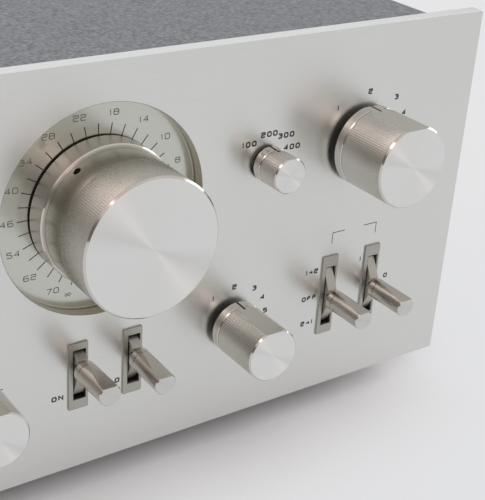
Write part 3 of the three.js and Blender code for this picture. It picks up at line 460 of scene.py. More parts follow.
class Workpiece:
    """A mesh in millimetres about its own centre, which becomes a finished piece in its place."""

    def __init__(self, name: str, *finishes: Finish) -> None:
        """Starts an empty mesh.

        Args:
            name: the piece's name.
            finishes: the finish of each zone.
        """
        self.name = name
        self.finishes = finishes
        self.mesh = bmesh.new()

    def band(self, first: Loop, second: Loop, zone: int) -> None:
        """Joins two loops by a band of faces.

        Args:
            first: the loop that the band starts at.
            second: the loop that it ends at. Either may be one vertex, which is a pole.
            zone: the zone of the faces.
        """
        count = max(len(first), len(second))
        for index in range(count):
            after = (index + 1) % count
            corners = [first[index % len(first)], first[after % len(first)]]
            corners += [second[after % len(second)], second[index % len(second)]]
            unique = list(dict.fromkeys(corners))
            if len(unique) > 2:
                self.mesh.faces.new(unique).material_index = zone

    def skin(
        self, loops: Sequence[Sequence[Sequence[float]]], zone: int = 0, endless: bool = False
    ) -> None:
        """Joins loops of points into a closed skin.

        Args:
            loops: the points of each loop.
            zone: the zone of the faces.
            endless: whether the last loop joins the first, instead of a face over each end.
        """
        made = [[self.mesh.verts.new(point) for point in loop] for loop in loops]
        if endless:
            made.append(made[0])
        else:
            for end in (made[0], made[-1][::-1]):
                self.mesh.faces.new(end).material_index = zone
        for first, second in zip(made, made[1:]):
            self.band(first, second, zone)

    def box(self, low: Point, high: Point, zone: int = 0) -> None:
        """Adds a box.

        Args:
            low: its lowest corner.
            high: its highest corner.
            zone: the zone of its faces.
        """
        (left, front, floor), (right, back, top) = low, high
        corners = ((left, floor), (right, floor), (right, top), (left, top))
        self.skin([[(x, y, z) for x, z in corners] for y in (front, back)], zone)

    def turn(self, profile: Sequence[Station], segments: int, closed: bool = False) -> None:
        """Turns a profile about the Y axis.

        Args:
            profile: the stations, from the front of the axis outwards and back.
            segments: faces round the axis.
            closed: whether the profile goes round a bore back to its first station.
        """
        rings = [Ring(*station) for station in profile]
        loops = []
        for radius, depth, _ in rings:
            angles = [math.tau * index / segments for index in range(segments if radius else 1)]
            points = [(radius * math.sin(a), depth, radius * math.cos(a)) for a in angles]
            loops.append([self.mesh.verts.new(point) for point in points])
        if closed:
            loops.append(loops[0])
        for first, second, ring in zip(loops, loops[1:], rings):
            self.band(first, second, ring.zone)

    def plate(
        self,
        outer: Outline,
        holes: Sequence[Outline],
        front: float,
        back: float,
        bevel: float,
        edge_zone: int = 0,
        wall_zones: dict[Outline, int] | None = None,
    ) -> None:
        """Makes a plate with holes, square to Y, with a chamfer round its front edges.

        Args:
            outer: the plate's outline.
            holes: the outlines of its holes.
            front: the front face's Y.
            back: the back face's Y.
            bevel: the chamfer's size.
            edge_zone: the zone of the chamfers and edges.
            wall_zones: the zone of a hole's wall, where it is another.
        """
        rims: dict[float, list[bmesh.types.BMEdge]] = {front: [], back: []}
        for outline in (outer, *holes):
            inwards = -bevel if outline is outer else bevel
            zone = (wall_zones or {}).get(outline, edge_zone)
            loops = [
                [self.mesh.verts.new(point) for point in outline.points(grow, depth)]
                for grow, depth in ((inwards, front), (0, front + bevel), (0, back))
            ]
            for first, second in zip(loops, loops[1:]):
                self.band(first, second, zone)
            for depth, loop in ((front, loops[0]), (back, loops[-1])):
                rims[depth] += map(self.mesh.edges.get, zip(loop, loop[1:] + loop[:1]))
        for depth, edges in rims.items():
            normal = Vector((0, -1 if depth == front else 1, 0))
            bmesh.ops.triangle_fill(self.mesh, use_beauty=True, edges=edges, normal=normal)

    def flute(self, beyond: float, count: int, depth: float) -> None:
        """Sinks straight flutes into what was turned about Y beyond a radius.

        Args:
            beyond: points nearer the axis than this stay.
            count: flutes round the axis.
            depth: depth of a flute.
        """
        for vertex in self.mesh.verts:
            radius = math.hypot(vertex.co.x, vertex.co.z)
            if radius < beyond:
                continue
            angle = math.atan2(vertex.co.x, vertex.co.z)
            scale = 1 - depth * (0.5 - 0.5 * math.cos(angle * count)) / radius
            vertex.co.x *= scale
            vertex.co.z *= scale

    def absorb(self, part: Workpiece, zone: int, turned: float = 0.0) -> None:
        """Takes in another workpiece.

        Args:
            part: the other workpiece, which is used up.
            zone: the zone that its faces get.
            turned: its turn about Z, in degrees.
        """
        turn = Matrix.Rotation(math.radians(turned), 4, "Z")
        bmesh.ops.transform(part.mesh, matrix=turn, verts=part.mesh.verts)
        for face in part.mesh.faces:
            face.material_index = zone
        scratch = bpy.data.meshes.new("scratch")
        part.mesh.to_mesh(scratch)
        part.mesh.free()
        self.mesh.from_mesh(scratch)
        bpy.data.meshes.remove(scratch)

    def object(self, smooth_angle: float = 30.0) -> bpy.types.Object:
        """Makes the mesh an object, still in millimetres about its centre.

        Args:
            smooth_angle: edges sharper than this stay sharp, in degrees.

        Returns:
            The object, linked into the scene.
        """
        bmesh.ops.remove_doubles(self.mesh, verts=self.mesh.verts, dist=MERGE_REACH)
        bmesh.ops.recalc_face_normals(self.mesh, faces=self.mesh.faces)
        data = bpy.data.meshes.new(self.name)
        self.mesh.to_mesh(data)
        self.mesh.free()
        for finish in self.finishes:
            data.materials.append(paint(finish))
        data.shade_smooth()
        data.set_sharp_from_angle(angle=math.radians(smooth_angle))
        made = bpy.data.objects.new(self.name, data)
        bpy.context.scene.collection.objects.link(made)
        return made


@dataclass(frozen=True)
class Place:
    """Where a piece goes: what it rides on, what it stands for and its own centre.

    Args:
        centre: the centre in metres.
        slot: the record's material slot; not used.
        body: the body that it rides on.
        replaces: the CAD nodes that it stands for.
        tilt: turn about X in degrees, before it is moved to the centre.
    """

    centre: Vector
    slot: str
    body: str = CHASSIS
    replaces: tuple[str, ...] = ()
    tilt: float = 0.0

    def put(self, made: bpy.types.Object) -> None:
        """Moves a piece from its own millimetres to its place, and ties it to its body.

        Args:
            made: an object with its mesh in millimetres, which stays at the origin itself.
        """
        data = made.data
        attribute = data.attributes.new(TURNED_ATTRIBUTE, "FLOAT_VECTOR", "POINT")
        for vertex, value in zip(data.vertices, attribute.data):
            value.vector = vertex.co * MM
        turn = Matrix.Rotation(math.radians(self.tilt), 4, "X")
        data.transform(Matrix.Translation(self.centre) @ turn @ Matrix.Scale(MM, 4))
        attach(made, self.body)
        if self.replaces:
            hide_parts(*self.replaces)
        LOG.info("%s: %d faces on %s", made.name, len(data.polygons), self.body)


@dataclass(frozen=True)
class Repeat:
    """Copies of one mesh along a row, over a grid or round an arc, made by Geometry Nodes.

    Args:
        count: how many copies.
        columns: how many in a row before the next row starts.
        column_step: from one copy to the next, in millimetres.
        row_step: from one row to the next, in millimetres.
        first_turn: turn of the first copy about Y, in degrees.
        turn_step: turn from one copy to the next, in degrees.
    """

    count: int
    columns: int = 1
    column_step: Point = (0, 0, 0)
    row_step: Point = (0, 0, 0)
    first_turn: float = 0.0
    turn_step: float = 0.0

    def tree(self) -> bpy.types.GeometryNodeTree:
        """Builds the tree, with a named input for each size.

        Returns:
            The tree, which ends in real copies in one material.
        """
        tree = bpy.data.node_groups.new("repeat", "GeometryNodeTree")
        new_socket = tree.interface.new_socket
        new_socket("Geometry", in_out="OUTPUT", socket_type="NodeSocketGeometry")
        for kind, names in (
            ("Geometry", ("Geometry",)),
            ("Int", ("Count", "Columns")),
            ("Vector", ("Column Step", "Row Step")),
            ("Float", ("First Turn", "Turn Step")),
            ("Material", ("Finish",)),
        ):
            for name in names:
                new_socket(name, in_out="INPUT", socket_type=f"NodeSocket{kind}")
        add = partial(add_node, tree)
        given = add("NodeGroupInput").outputs
        sums = {socket.name: socket for socket in given}
        sums["Index"] = add("GeometryNodeInputIndex").outputs[0]
        for name, kind, operation, *terms in (
            ("column", "ShaderNodeMath", "MODULO", "Index", "Columns"),
            ("share", "ShaderNodeMath", "DIVIDE", "Index", "Columns"),
            ("row", "ShaderNodeMath", "FLOOR", "share"),
            ("across", "ShaderNodeVectorMath", "MULTIPLY", "Column Step", "column"),
            ("up", "ShaderNodeVectorMath", "MULTIPLY", "Row Step", "row"),
            ("place", "ShaderNodeVectorMath", "ADD", "across", "up"),
            ("angle", "ShaderNodeMath", "MULTIPLY_ADD", "Index", "Turn Step", "First Turn"),
        ):
            inputs = {index: sums[term] for index, term in enumerate(terms)}
            sums[name] = add(kind, {"operation": operation}, inputs).outputs[0]
        euler = add("ShaderNodeCombineXYZ", inputs={"Y": sums["angle"]}).outputs[0]
        spread = {"Count": given["Count"], "Position": sums["place"]}
        points = add("GeometryNodePoints", inputs=spread)
        copies = {
            "Points": points.outputs[0],
            "Instance": given["Geometry"],
            "Rotation": add("FunctionNodeEulerToRotation", inputs={0: euler}).outputs[0],
        }
        real = add("GeometryNodeInstanceOnPoints", inputs=copies).outputs[0]
        real = add("GeometryNodeRealizeInstances", inputs={0: real}).outputs[0]
        dressed = {"Geometry": real, "Material": given["Finish"]}
        dressed = add("GeometryNodeSetMaterial", inputs=dressed).outputs[0]
        add("NodeGroupOutput", inputs={0: dressed})
        return tree

    def apply(self, seed: bpy.types.Object, finish: Finish) -> bpy.types.Object:
        """Turns one mesh into all its copies, as a plain mesh.

        Args:
            seed: the object with the mesh to repeat.
            finish: the finish of the copies.

        Returns:
            The same object, with the copies in its mesh and no modifier.
        """
        tree = self.tree()
        modifier = seed.modifiers.new("repeat", "NODES")
        modifier.node_group = tree
        values = {
            "Count": self.count,
            "Columns": self.columns,
            "Column Step": self.column_step,
            "Row Step": self.row_step,
            "First Turn": math.radians(self.first_turn),
            "Turn Step": math.radians(self.turn_step),
            "Finish": paint(finish),
        }
        for item in tree.interface.items_tree:
            if item.in_out == "INPUT" and item.name in values:
                modifier[item.identifier] = values[item.name]
        return bake(seed)


def bake(made: bpy.types.Object) -> bpy.types.Object:
    """Replaces an object's mesh by what its modifiers make of it, and removes them.

    Args:
        made: the object with its modifiers.

    Returns:
        The same object, with a plain mesh.
    """
    bpy.context.view_layer.update()
    graph = bpy.context.evaluated_depsgraph_get()
    data = bpy.data.meshes.new_from_object(made.evaluated_get(graph))
    data.name = made.name
    made.modifiers.clear()
    made.data = data
    return made


def cut_away(
    made: bpy.types.Object, cutter: bpy.types.Object, smooth_angle: float = 12.0
) -> None:
    """Cuts one mesh out of another and removes the tool.

    Args:
        made: the object that is cut.
        cutter: the object that cuts it.
        smooth_angle: edges sharper than this are sharp afterwards, in degrees.
    """
    cut = made.modifiers.new("cut", "BOOLEAN")
    cut.object = cutter
    cut.operation = "DIFFERENCE"
    cut.solver = "EXACT"
    bake(made)
    made.data.set_sharp_from_angle(angle=math.radians(smooth_angle))
    bpy.data.objects.remove(cutter)


# Square letters with round corners. A stroke lists its corners as two digits, across and up, in
# ninths of the letter's size, and it is closed where the last corner is the first.
STROKES = {
    "0": ("00 90 99 09 00",),
    "1": ("26 59 50",),
    "2": ("07 09 99 95 05 00 90",),
    "3": ("09 99 90 00", "35 95"),
    "4": ("70 79 03 93",),
    "5": ("99 09 05 95 90 00",),
    "6": ("99 09 00 90 95 05",),
    "7": ("09 99 30",),
    "8": ("00 90 99 09 00", "05 95"),
    "O": ("00 90 99 09 00",),
    "N": ("00 09 90 99",),
    "F": ("00 09 99", "05 85"),
    "→": ("04 94", "67 94 61"),
    "∞": ("44 28 04 20 44 68 94 60 44",),
}
# Width of the characters that are narrower or wider than the others, as a share of theirs.
WIDTHS = {"1": 0.5, "∞": 1.6}
LETTER_WIDTH = 0.95
LETTER_GAP = 0.24
LETTER_ROUNDING = 0.26
INK_THICKNESS = 0.01
# Strokes that cross would share a face. Each is this much thinner than the one before.
LAYER_STEP = 0.003
# Cosine of the turn from which a stroke's corner stays sharp, and the least one for its mitre.
SHARP_TURN = 0.5
LEAST_MITRE = 0.5
# A rounding takes at most a side divided by this, so that the two on one side never meet.
ROUNDING_LIMIT = 2.2
ROUNDING_SHARES = (0.0, 0.25, 0.5, 0.75, 1.0)
# Steps of the grid that the strokes are drawn on.
GRID = 9


def rounded(corners: Sequence[Vector], closed: bool, radius: float) -> list[Vector]:
    """Rounds the square corners of a stroke, and leaves its ends and sharp corners.

    Args:
        corners: the stroke's corners in order.
        closed: whether the stroke runs back to its first corner.
        radius: how far from the corner the rounding starts.

    Returns:
        The points in order.
    """
    found = []
    for index, corner in enumerate(corners):
        behind = corners[index - 1] - corner
        ahead = corners[(index + 1) % len(corners)] - corner
        end = not closed and index in (0, len(corners) - 1)
        if end or abs(behind.normalized() @ ahead.normalized()) > SHARP_TURN:
            found.append(corner)
            continue
        reach = min(radius, behind.length / ROUNDING_LIMIT, ahead.length / ROUNDING_LIMIT)
        start = corner + behind.normalized() * reach
        finish = corner + ahead.normalized() * reach
        for share in ROUNDING_SHARES:
            found.append(start.lerp(corner, share).lerp(corner.lerp(finish, share), share))
    return found


def ribbon(line: Sequence[Vector], closed: bool, half: float, rise: float) -> list[list[Vector]]:
    """Lists the cross sections of a thin flat ribbon along a line in X and Z.

    Args:
        line: the points as X and Z.
        closed: whether the line runs back to its first point.
        half: half of the ribbon's width.
        rise: how far it stands out of Y zero, on both sides.

    Returns:
        Four corners for each point.
    """
    loops = []
    for index, point in enumerate(line):
        before = (point - line[index - 1]).normalized() if closed or index else None
        after = (line[(index + 1) % len(line)] - point).normalized()
        if not closed and index == len(line) - 1:
            after = before
        along = ((before or after) + after).normalized()
        side = Vector((-along.y, along.x)) * (half / max(along @ after, LEAST_MITRE))
        loops.append(
            [
                Vector((point.x + side.x * turn, depth, point.y + side.y * turn))
                for turn, depth in ((1, -rise), (-1, -rise), (-1, rise), (1, rise))
            ]
        )
    return loops


def letter(
    sheet: Workpiece,
    text: str,
    height: float,
    place: Point,
    weight: float = 0.27,
    turned: bool = False,
) -> None:
    """Adds a line of print to a sheet.

    Args:
        sheet: the workpiece that gets it.
        text: the characters.
        height: their height in millimetres.
        place: the middle of the line.
        weight: a stroke's width, as a share of the height.
        turned: whether the line faces the back.
    """
    move = Matrix.Translation(place) @ Matrix.Rotation(math.pi if turned else 0, 4, "Z")
    gap = LETTER_GAP * height
    widths = [LETTER_WIDTH * height * WIDTHS.get(character, 1.0) for character in text]
    left = -(sum(widths) + gap * (len(text) - 1)) / 2
    half = height * weight / 2
    for character, width in zip(text, widths):
        for layer, stroke in enumerate(STROKES[character]):
            corners = []
            for x, z in stroke.split():
                across = left + half + int(x) / GRID * (width - 2 * half)
                corners.append(Vector((across, (int(z) / GRID - 0.5) * (height - 2 * half))))
            closed = corners[0] == corners[-1]
            if closed:
                corners.pop()
            line = rounded(corners, closed, LETTER_ROUNDING * height)
            loops = ribbon(line, closed, half, INK_THICKNESS - LAYER_STEP * layer)
            sheet.skin([[move @ point for point in loop] for loop in loops], endless=closed)
        left += width + gap


# Sub-assemblies


def clock(radius: float, angle: float) -> tuple[float, float]:
    """Returns the place across and up at a radius and an angle in degrees from the top."""
    turn = math.radians(angle)
    return radius * math.sin(turn), radius * math.cos(turn)


class Span(NamedTuple):
    """The box of a CAD node, by its lowest and highest corner in millimetres."""

    low: Vector
    high: Vector

    @property
    def middle(self) -> Vector:
        """Returns the box's middle."""
        return (self.low + self.high) / 2

    @property
    def size(self) -> Vector:
        """Returns the box's size."""
        return self.high - self.low

    @property
    def seat(self) -> Vector:
        """Returns the middle of the box's front, in metres."""
        return Vector((self.middle.x, self.low.y, self.middle.z)) * MM


@dataclass
class Frame:
    """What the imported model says: where its joints and nodes are.

    Args:
        loaded: what the frame's loading returned.
    """

    loaded: dict[str, Any]

    def joint(self, child: str) -> Vector:
        """Returns the point on the axis of the joint that moves a body, in metres."""
        return next(Vector(j["pos_m"]) for j in self.loaded["joints"] if j["child"] == child)

    def knob_axis(self, name: str) -> Vector:
        """Returns the point on the axis of a rotary control, in metres."""
        return self.joint(f"{name}_knob_and_shaft")

    def span(self, node: str) -> Span:
        """Returns the box of a node."""
        return Span(*(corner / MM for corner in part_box(node)))

    def dress(self) -> None:
        """Gives every CAD node that still shows the finish of its slot."""
        slots = {row["node"]: row["material_slot"] for row in self.loaded["record"]["subparts"]}
        for name, node in self.loaded["nodes"].items():
            if not node.hide_render:
                node.data.materials.clear()
                node.data.materials.append(paint(SLOT_FINISHES[slots[name]]))


@dataclass
class LeverPlace:
    """A lever switch on the front. Heights are above the lever's middle line.

    Args:
        name: the switch's name.
        up: how far its escutcheon reaches up.
        tilt: the lever's turn about X at rest, in degrees.
        rim: how far the rocker reaches up.
        rim_back: how far the rocker's upper rim stands back from the panel's face.
        window_up: how far the escutcheon's window reaches up.
    """

    name: str
    up: float
    tilt: float
    rim: float
    rim_back: float
    window_up: float


SHORT = {"up": 9.35, "rim": 5.9, "rim_back": 1.2, "window_up": 6.58}
LONG = {"up": 16.65, "rim": 11.0, "rim_back": 1.0, "window_up": 11.98}
LEVERS = (
    LeverPlace("power", tilt=0, **SHORT),
    LeverPlace("low_filter", tilt=0, **SHORT),
    LeverPlace("high_filter", tilt=0, **SHORT),
    LeverPlace("loudness", tilt=-2.2, **SHORT),
    LeverPlace("muting", tilt=2, **SHORT),
    LeverPlace("duplicate", tilt=0, **LONG),
    LeverPlace("monitor", tilt=0, **LONG),
)


@dataclass
class FrontPlate:
    """The thick front plate with its round dial opening, slots and holes.

    Args:
        frame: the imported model.
        bevel: the chamfer round the plate's front edges and openings.
        corner: radius of the plate's corners.
        dial_radius: radius of the dial opening.
        shaft_hole: radius of the hole behind a knob.
        jack_hole: radius of the headphone socket's hole.
        slot_width: width of a lever slot.
        slot_corner: radius of a slot's corners.
        slot_down: how far a slot reaches below the lever's middle line.
        slot_offset: how far a slot's middle stands to the left of its lever.
        lap: how far an escutcheon laps over the upper end of its slot.
        steps: straight pieces in a quarter of a round hole, of the jack's, and in a corner.
    """

    frame: Frame
    bevel: float = 0.12
    corner: float = 0.6
    dial_radius: float = 35.1
    shaft_hole: float = 5.5
    jack_hole: float = 5.3
    slot_width: float = 6.6
    slot_corner: float = 0.35
    slot_down: float = 15.4
    slot_offset: float = 0.5
    lap: float = 0.25
    steps: tuple[int, int, int] = (40, 8, 3)

    def build(self) -> None:
        """Builds the plate."""
        panel = self.frame.span("front_panel")
        size, level = panel.size, panel.middle.z
        round_steps, jack_steps, corner_steps = self.steps
        holes = []
        for knob in KNOBS:
            axis = self.frame.knob_axis(knob.name) / MM
            radius = self.dial_radius if knob.name == "volume" else self.shaft_hole
            holes.append(Outline.circle(axis.x, axis.z - level, radius, round_steps))
        jack = self.frame.span("headphone_nut").middle
        holes.append(Outline.circle(jack.x, jack.z - level, self.jack_hole, jack_steps))
        for lever in LEVERS:
            pivot = self.frame.joint(f"{lever.name}_rocker") / MM
            up = lever.up - self.lap
            x, z = pivot.x - self.slot_offset, pivot.z - level + (up - self.slot_down) / 2
            sizes = self.slot_width, up + self.slot_down, self.slot_corner
            holes.append(Outline(x, z, *sizes, corner_steps))
        outer = Outline(panel.middle.x, 0, size.x, size.z, self.corner, corner_steps)
        # The dial opening's wall takes the bore finish, whose darker warm colour is painted shade.
        plate = Workpiece("front_plate", PLATE, CHAMFER, SHADED_BORE_WALL)
        plate.plate(outer, holes, 0, size.y, self.bevel, 1, {holes[0]: 2})
        centre = Vector((0, panel.low.y, level)) * MM
        Place(centre, "brushed_aluminium", replaces=("front_panel",)).put(plate.object())


@dataclass
class Dial:
    """The dial round the volume knob, with its ticks and numbers.

    Args:
        frame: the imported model.
        first: angle of the first tick, in degrees clockwise from the top.
        step: angle from one tick to the next.
        ticks: how many ticks.
        bore: radius of the dial's bore.
        seam: outer radius of the groove in the dial.
        seam_size: width and depth of that groove.
        segments: faces round the dial.
        tick_inner: where a tick starts, as a radius.
        tick_outer: where a tick ends.
        tick_width: width of a tick.
        tick_rise: how far a tick stands out.
        number_radius: radius of the numbers' middles.
        number_height: height of the numbers.
        number_weight: width of their strokes, as a share of the height.
        endless_share: height of the sign for endless, as a share of theirs.
        numbers: the text at each angle.
    """

    frame: Frame
    first: float = -160.0
    step: float = 10.0
    ticks: int = 33
    bore: float = 8.0
    seam: float = 35.0
    seam_size: float = 0.4
    segments: int = 160
    tick_inner: float = 21.0
    tick_outer: float = 27.0
    tick_width: float = 0.32
    tick_rise: float = 0.02
    number_radius: float = 30.3
    number_height: float = 2.05
    number_weight: float = 0.15
    endless_share: float = 0.8
    numbers: tuple[tuple[float, str], ...] = (
        (-160, "∞"), (-149, "70"), (-130, "62"), (-110, "54"), (-90, "46"), (-70, "40"),
        (-52, "34"), (-33, "28"), (-12, "22"), (10, "18"), (31, "14"), (51, "10"),
        (70, "8"), (90, "6"), (110, "4"), (130, "2"), (152, "0"),
    )  # fmt: skip

    def build(self) -> None:
        """Builds the dial, its ticks and its numbers."""
        axis = self.frame.knob_axis("volume")
        low, high = self.frame.span("volume_dial")
        front, back = (depth - axis.y / MM for depth in (low.y, high.y))
        radius = (high.x - low.x) / 2
        inner, floor = self.seam - self.seam_size, front + self.seam_size
        disc = Workpiece("volume_scale", DIAL)
        profile = (
            (self.bore, front), (inner, front), (inner, floor), (self.seam, floor),
            (self.seam, front), (radius, front), (radius, back), (self.bore, back),
        )  # fmt: skip
        disc.turn(profile, self.segments, closed=True)
        Place(axis, "anodised_dial", replaces=("volume_dial",)).put(disc.object())
        tick = Workpiece("volume_ticks", INK)
        half, rise = self.tick_width / 2, self.tick_rise
        tick.box((-half, front - rise, self.tick_inner), (half, front + rise, self.tick_outer))
        row = Repeat(self.ticks, first_turn=self.first, turn_step=self.step)
        Place(axis, "anodised_dial").put(row.apply(tick.object(), INK))
        sheet = Workpiece("volume_numbers", DIAL_INK)
        for angle, text in self.numbers:
            height = self.number_height * (self.endless_share if text == "∞" else 1)
            x, z = clock(self.number_radius, angle)
            letter(sheet, text, height, (x, front, z), self.number_weight)
        Place(axis, "anodised_dial").put(sheet.object())


@dataclass
class FrontPrint:
    """The numbers, plain marks and ON and OFF printed on the front plate.

    Args:
        frame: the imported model.
        line: width of a printed line.
        tick: length of a tick.
        around_height: height of the numbers round the controls.
        beside_height: height of the print next to the levers.
        around: for each rotary control, its numbers with their angle and radius.
        beside: the print next to the levers, with the places of its middles.
        bracket: the lower left and upper right end of each line of the bracket.
        scales: the controls with ticks alone, and the radius where the ticks end.
        scale: how many ticks they have, the first one's angle and the step in degrees.
    """

    frame: Frame
    line: float = 0.3
    tick: float = 1.2
    around_height: float = 2.05
    beside_height: float = 2.0
    around: tuple[tuple[str, tuple[tuple[str, float, float], ...]], ...] = (
        ("function", (("1", -42, 19.6), ("2", 2, 18.8), ("3", 41, 20.0), ("4", 64, 19.6))),
        ("mode", (("1", -36, 14.6), ("2", 0, 14.4), ("3", 36, 14.6), ("4", 60, 14.4),
                  ("5", 84, 14.2))),
        ("cartridge_load", (("100", -45, 10.6), ("200", 2, 9.9), ("300", 41, 11.2),
                            ("400", 69, 10.9))),
        ("speakers", (("0", -36, 14.6), ("1", 0, 14.4), ("2", 36, 14.6), ("3", 64, 14.4))),
        ("treble", (("5", -128, 21), ("0", 0, 20), ("5", 128, 21))),
        ("bass", (("5", -128, 21), ("0", 0, 20), ("5", 128, 21))),
        ("balance", (("5", -128, 15.4), ("0", 0, 14.6), ("5", 128, 15.4))),
    )  # fmt: skip
    beside: tuple[tuple[str, float, float], ...] = (
        ("1→2", 142.5, 60.7), ("OFF", 142.4, 49.9), ("2→1", 142.4, 39.5),
        ("1", 165.2, 60.7), ("2", 165.2, 39.5), ("0", 179.0, 50.6),
        ("ON", 41.2, 39.2), ("0", 63.0, 39.5), ("1", 77.0, 39.5),
        ("ON", -99.8, 39.2), ("ON", -79.2, 39.2), ("ON", -190.4, 112.5), ("OFF", -190.8, 100.5),
    )  # fmt: skip
    bracket: tuple[tuple[float, float, float, float], ...] = (
        (150.5, 70.5, 150.5, 74.6), (150.5, 74.6, 155.9, 74.6),
        (165.1, 74.6, 171.0, 74.6), (171.0, 70.5, 171.0, 74.6),
    )  # fmt: skip
    scales: tuple[tuple[str, float], ...] = (("treble", 17.5), ("bass", 17.5), ("balance", 11.8))
    scale: tuple[int, float, float] = (11, -150.0, 30.0)

    def build(self) -> None:
        """Builds the print as one piece and the scales of the tone controls as others."""
        face = self.frame.span("front_panel").low.y
        half, rise = self.line / 2, INK_THICKNESS
        sheet = Workpiece("front_print", INK)
        for name, marks in self.around:
            axis = self.frame.knob_axis(name) / MM
            for text, angle, radius in marks:
                x, z = clock(radius, angle)
                letter(sheet, text, self.around_height, (axis.x + x, 0, axis.z + z))
        for text, x, z in self.beside:
            letter(sheet, text, self.beside_height, (x, 0, z))
        for left, bottom, right, top in self.bracket:
            sheet.box((left - half, -rise, bottom - half), (right + half, rise, top + half))
        Place(Vector((0, face, 0)) * MM, "brushed_aluminium").put(sheet.object())
        count, first, step = self.scale
        for name, radius in self.scales:
            axis = self.frame.knob_axis(name)
            front = face - axis.y / MM
            tick = Workpiece(f"{name}_ticks", INK)
            tick.box((-half, front - rise, radius - self.tick), (half, front + rise, radius))
            row = Repeat(count, first_turn=first, turn_step=step)
            Place(axis, "brushed_aluminium").put(row.apply(tick.object(), INK))


@dataclass(frozen=True)
class KnobShape:
    """A turned knob.

    Args:
        name: what it sets.
        base: length of the smooth ring next to the panel.
        rim: size of the bright bevel round the face.
        teeth: how many teeth its knurl has.
        segments: faces round the axis.
        flange: how far its flange stands out.
        flat: depth of the flat milled on its top, at the front and at the groove.
        reach: how much nearer to the panel its rear edge comes than the solid's.
    """

    name: str
    base: float
    rim: float
    teeth: int
    segments: int = 128
    flange: float = 0.0
    flat: tuple[float, float] = (0.0, 0.0)
    reach: float = 0.0


BIG_FLAT = (1.1, 0.6)
SMALL_FLAT = (0.8, 0.4)
KNOBS = (
    KnobShape("volume", 10.8, 0.6, 188, 192, 0.8, reach=0.7),
    KnobShape("function", 3.6, 0.55, 122, flat=BIG_FLAT),
    KnobShape("treble", 3.6, 0.55, 122, flat=BIG_FLAT),
    KnobShape("bass", 3.6, 0.55, 122, flat=BIG_FLAT),
    KnobShape("mode", 3.4, 0.5, 80, 96, flat=SMALL_FLAT),
    KnobShape("balance", 3.4, 0.5, 80, 96, flat=SMALL_FLAT),
    KnobShape("speakers", 3.4, 0.5, 80, 96, flat=SMALL_FLAT),
    KnobShape("cartridge_load", 2.6, 0.4, 52, 64, flat=(0.35, 0.2), reach=0.8),
)


class Zone(IntEnum):
    """The zones of a knob, in the order of its finishes."""

    FACE = 0
    RIM = 1
    SIDE = 2
    BASE = 3
    MARK = 4
    GRIP = 5


KNOB_FINISHES = (SPUN, BRIGHT, TURNED_SIDE, FLANGE, PAINT_IN_MARK, KNURL)


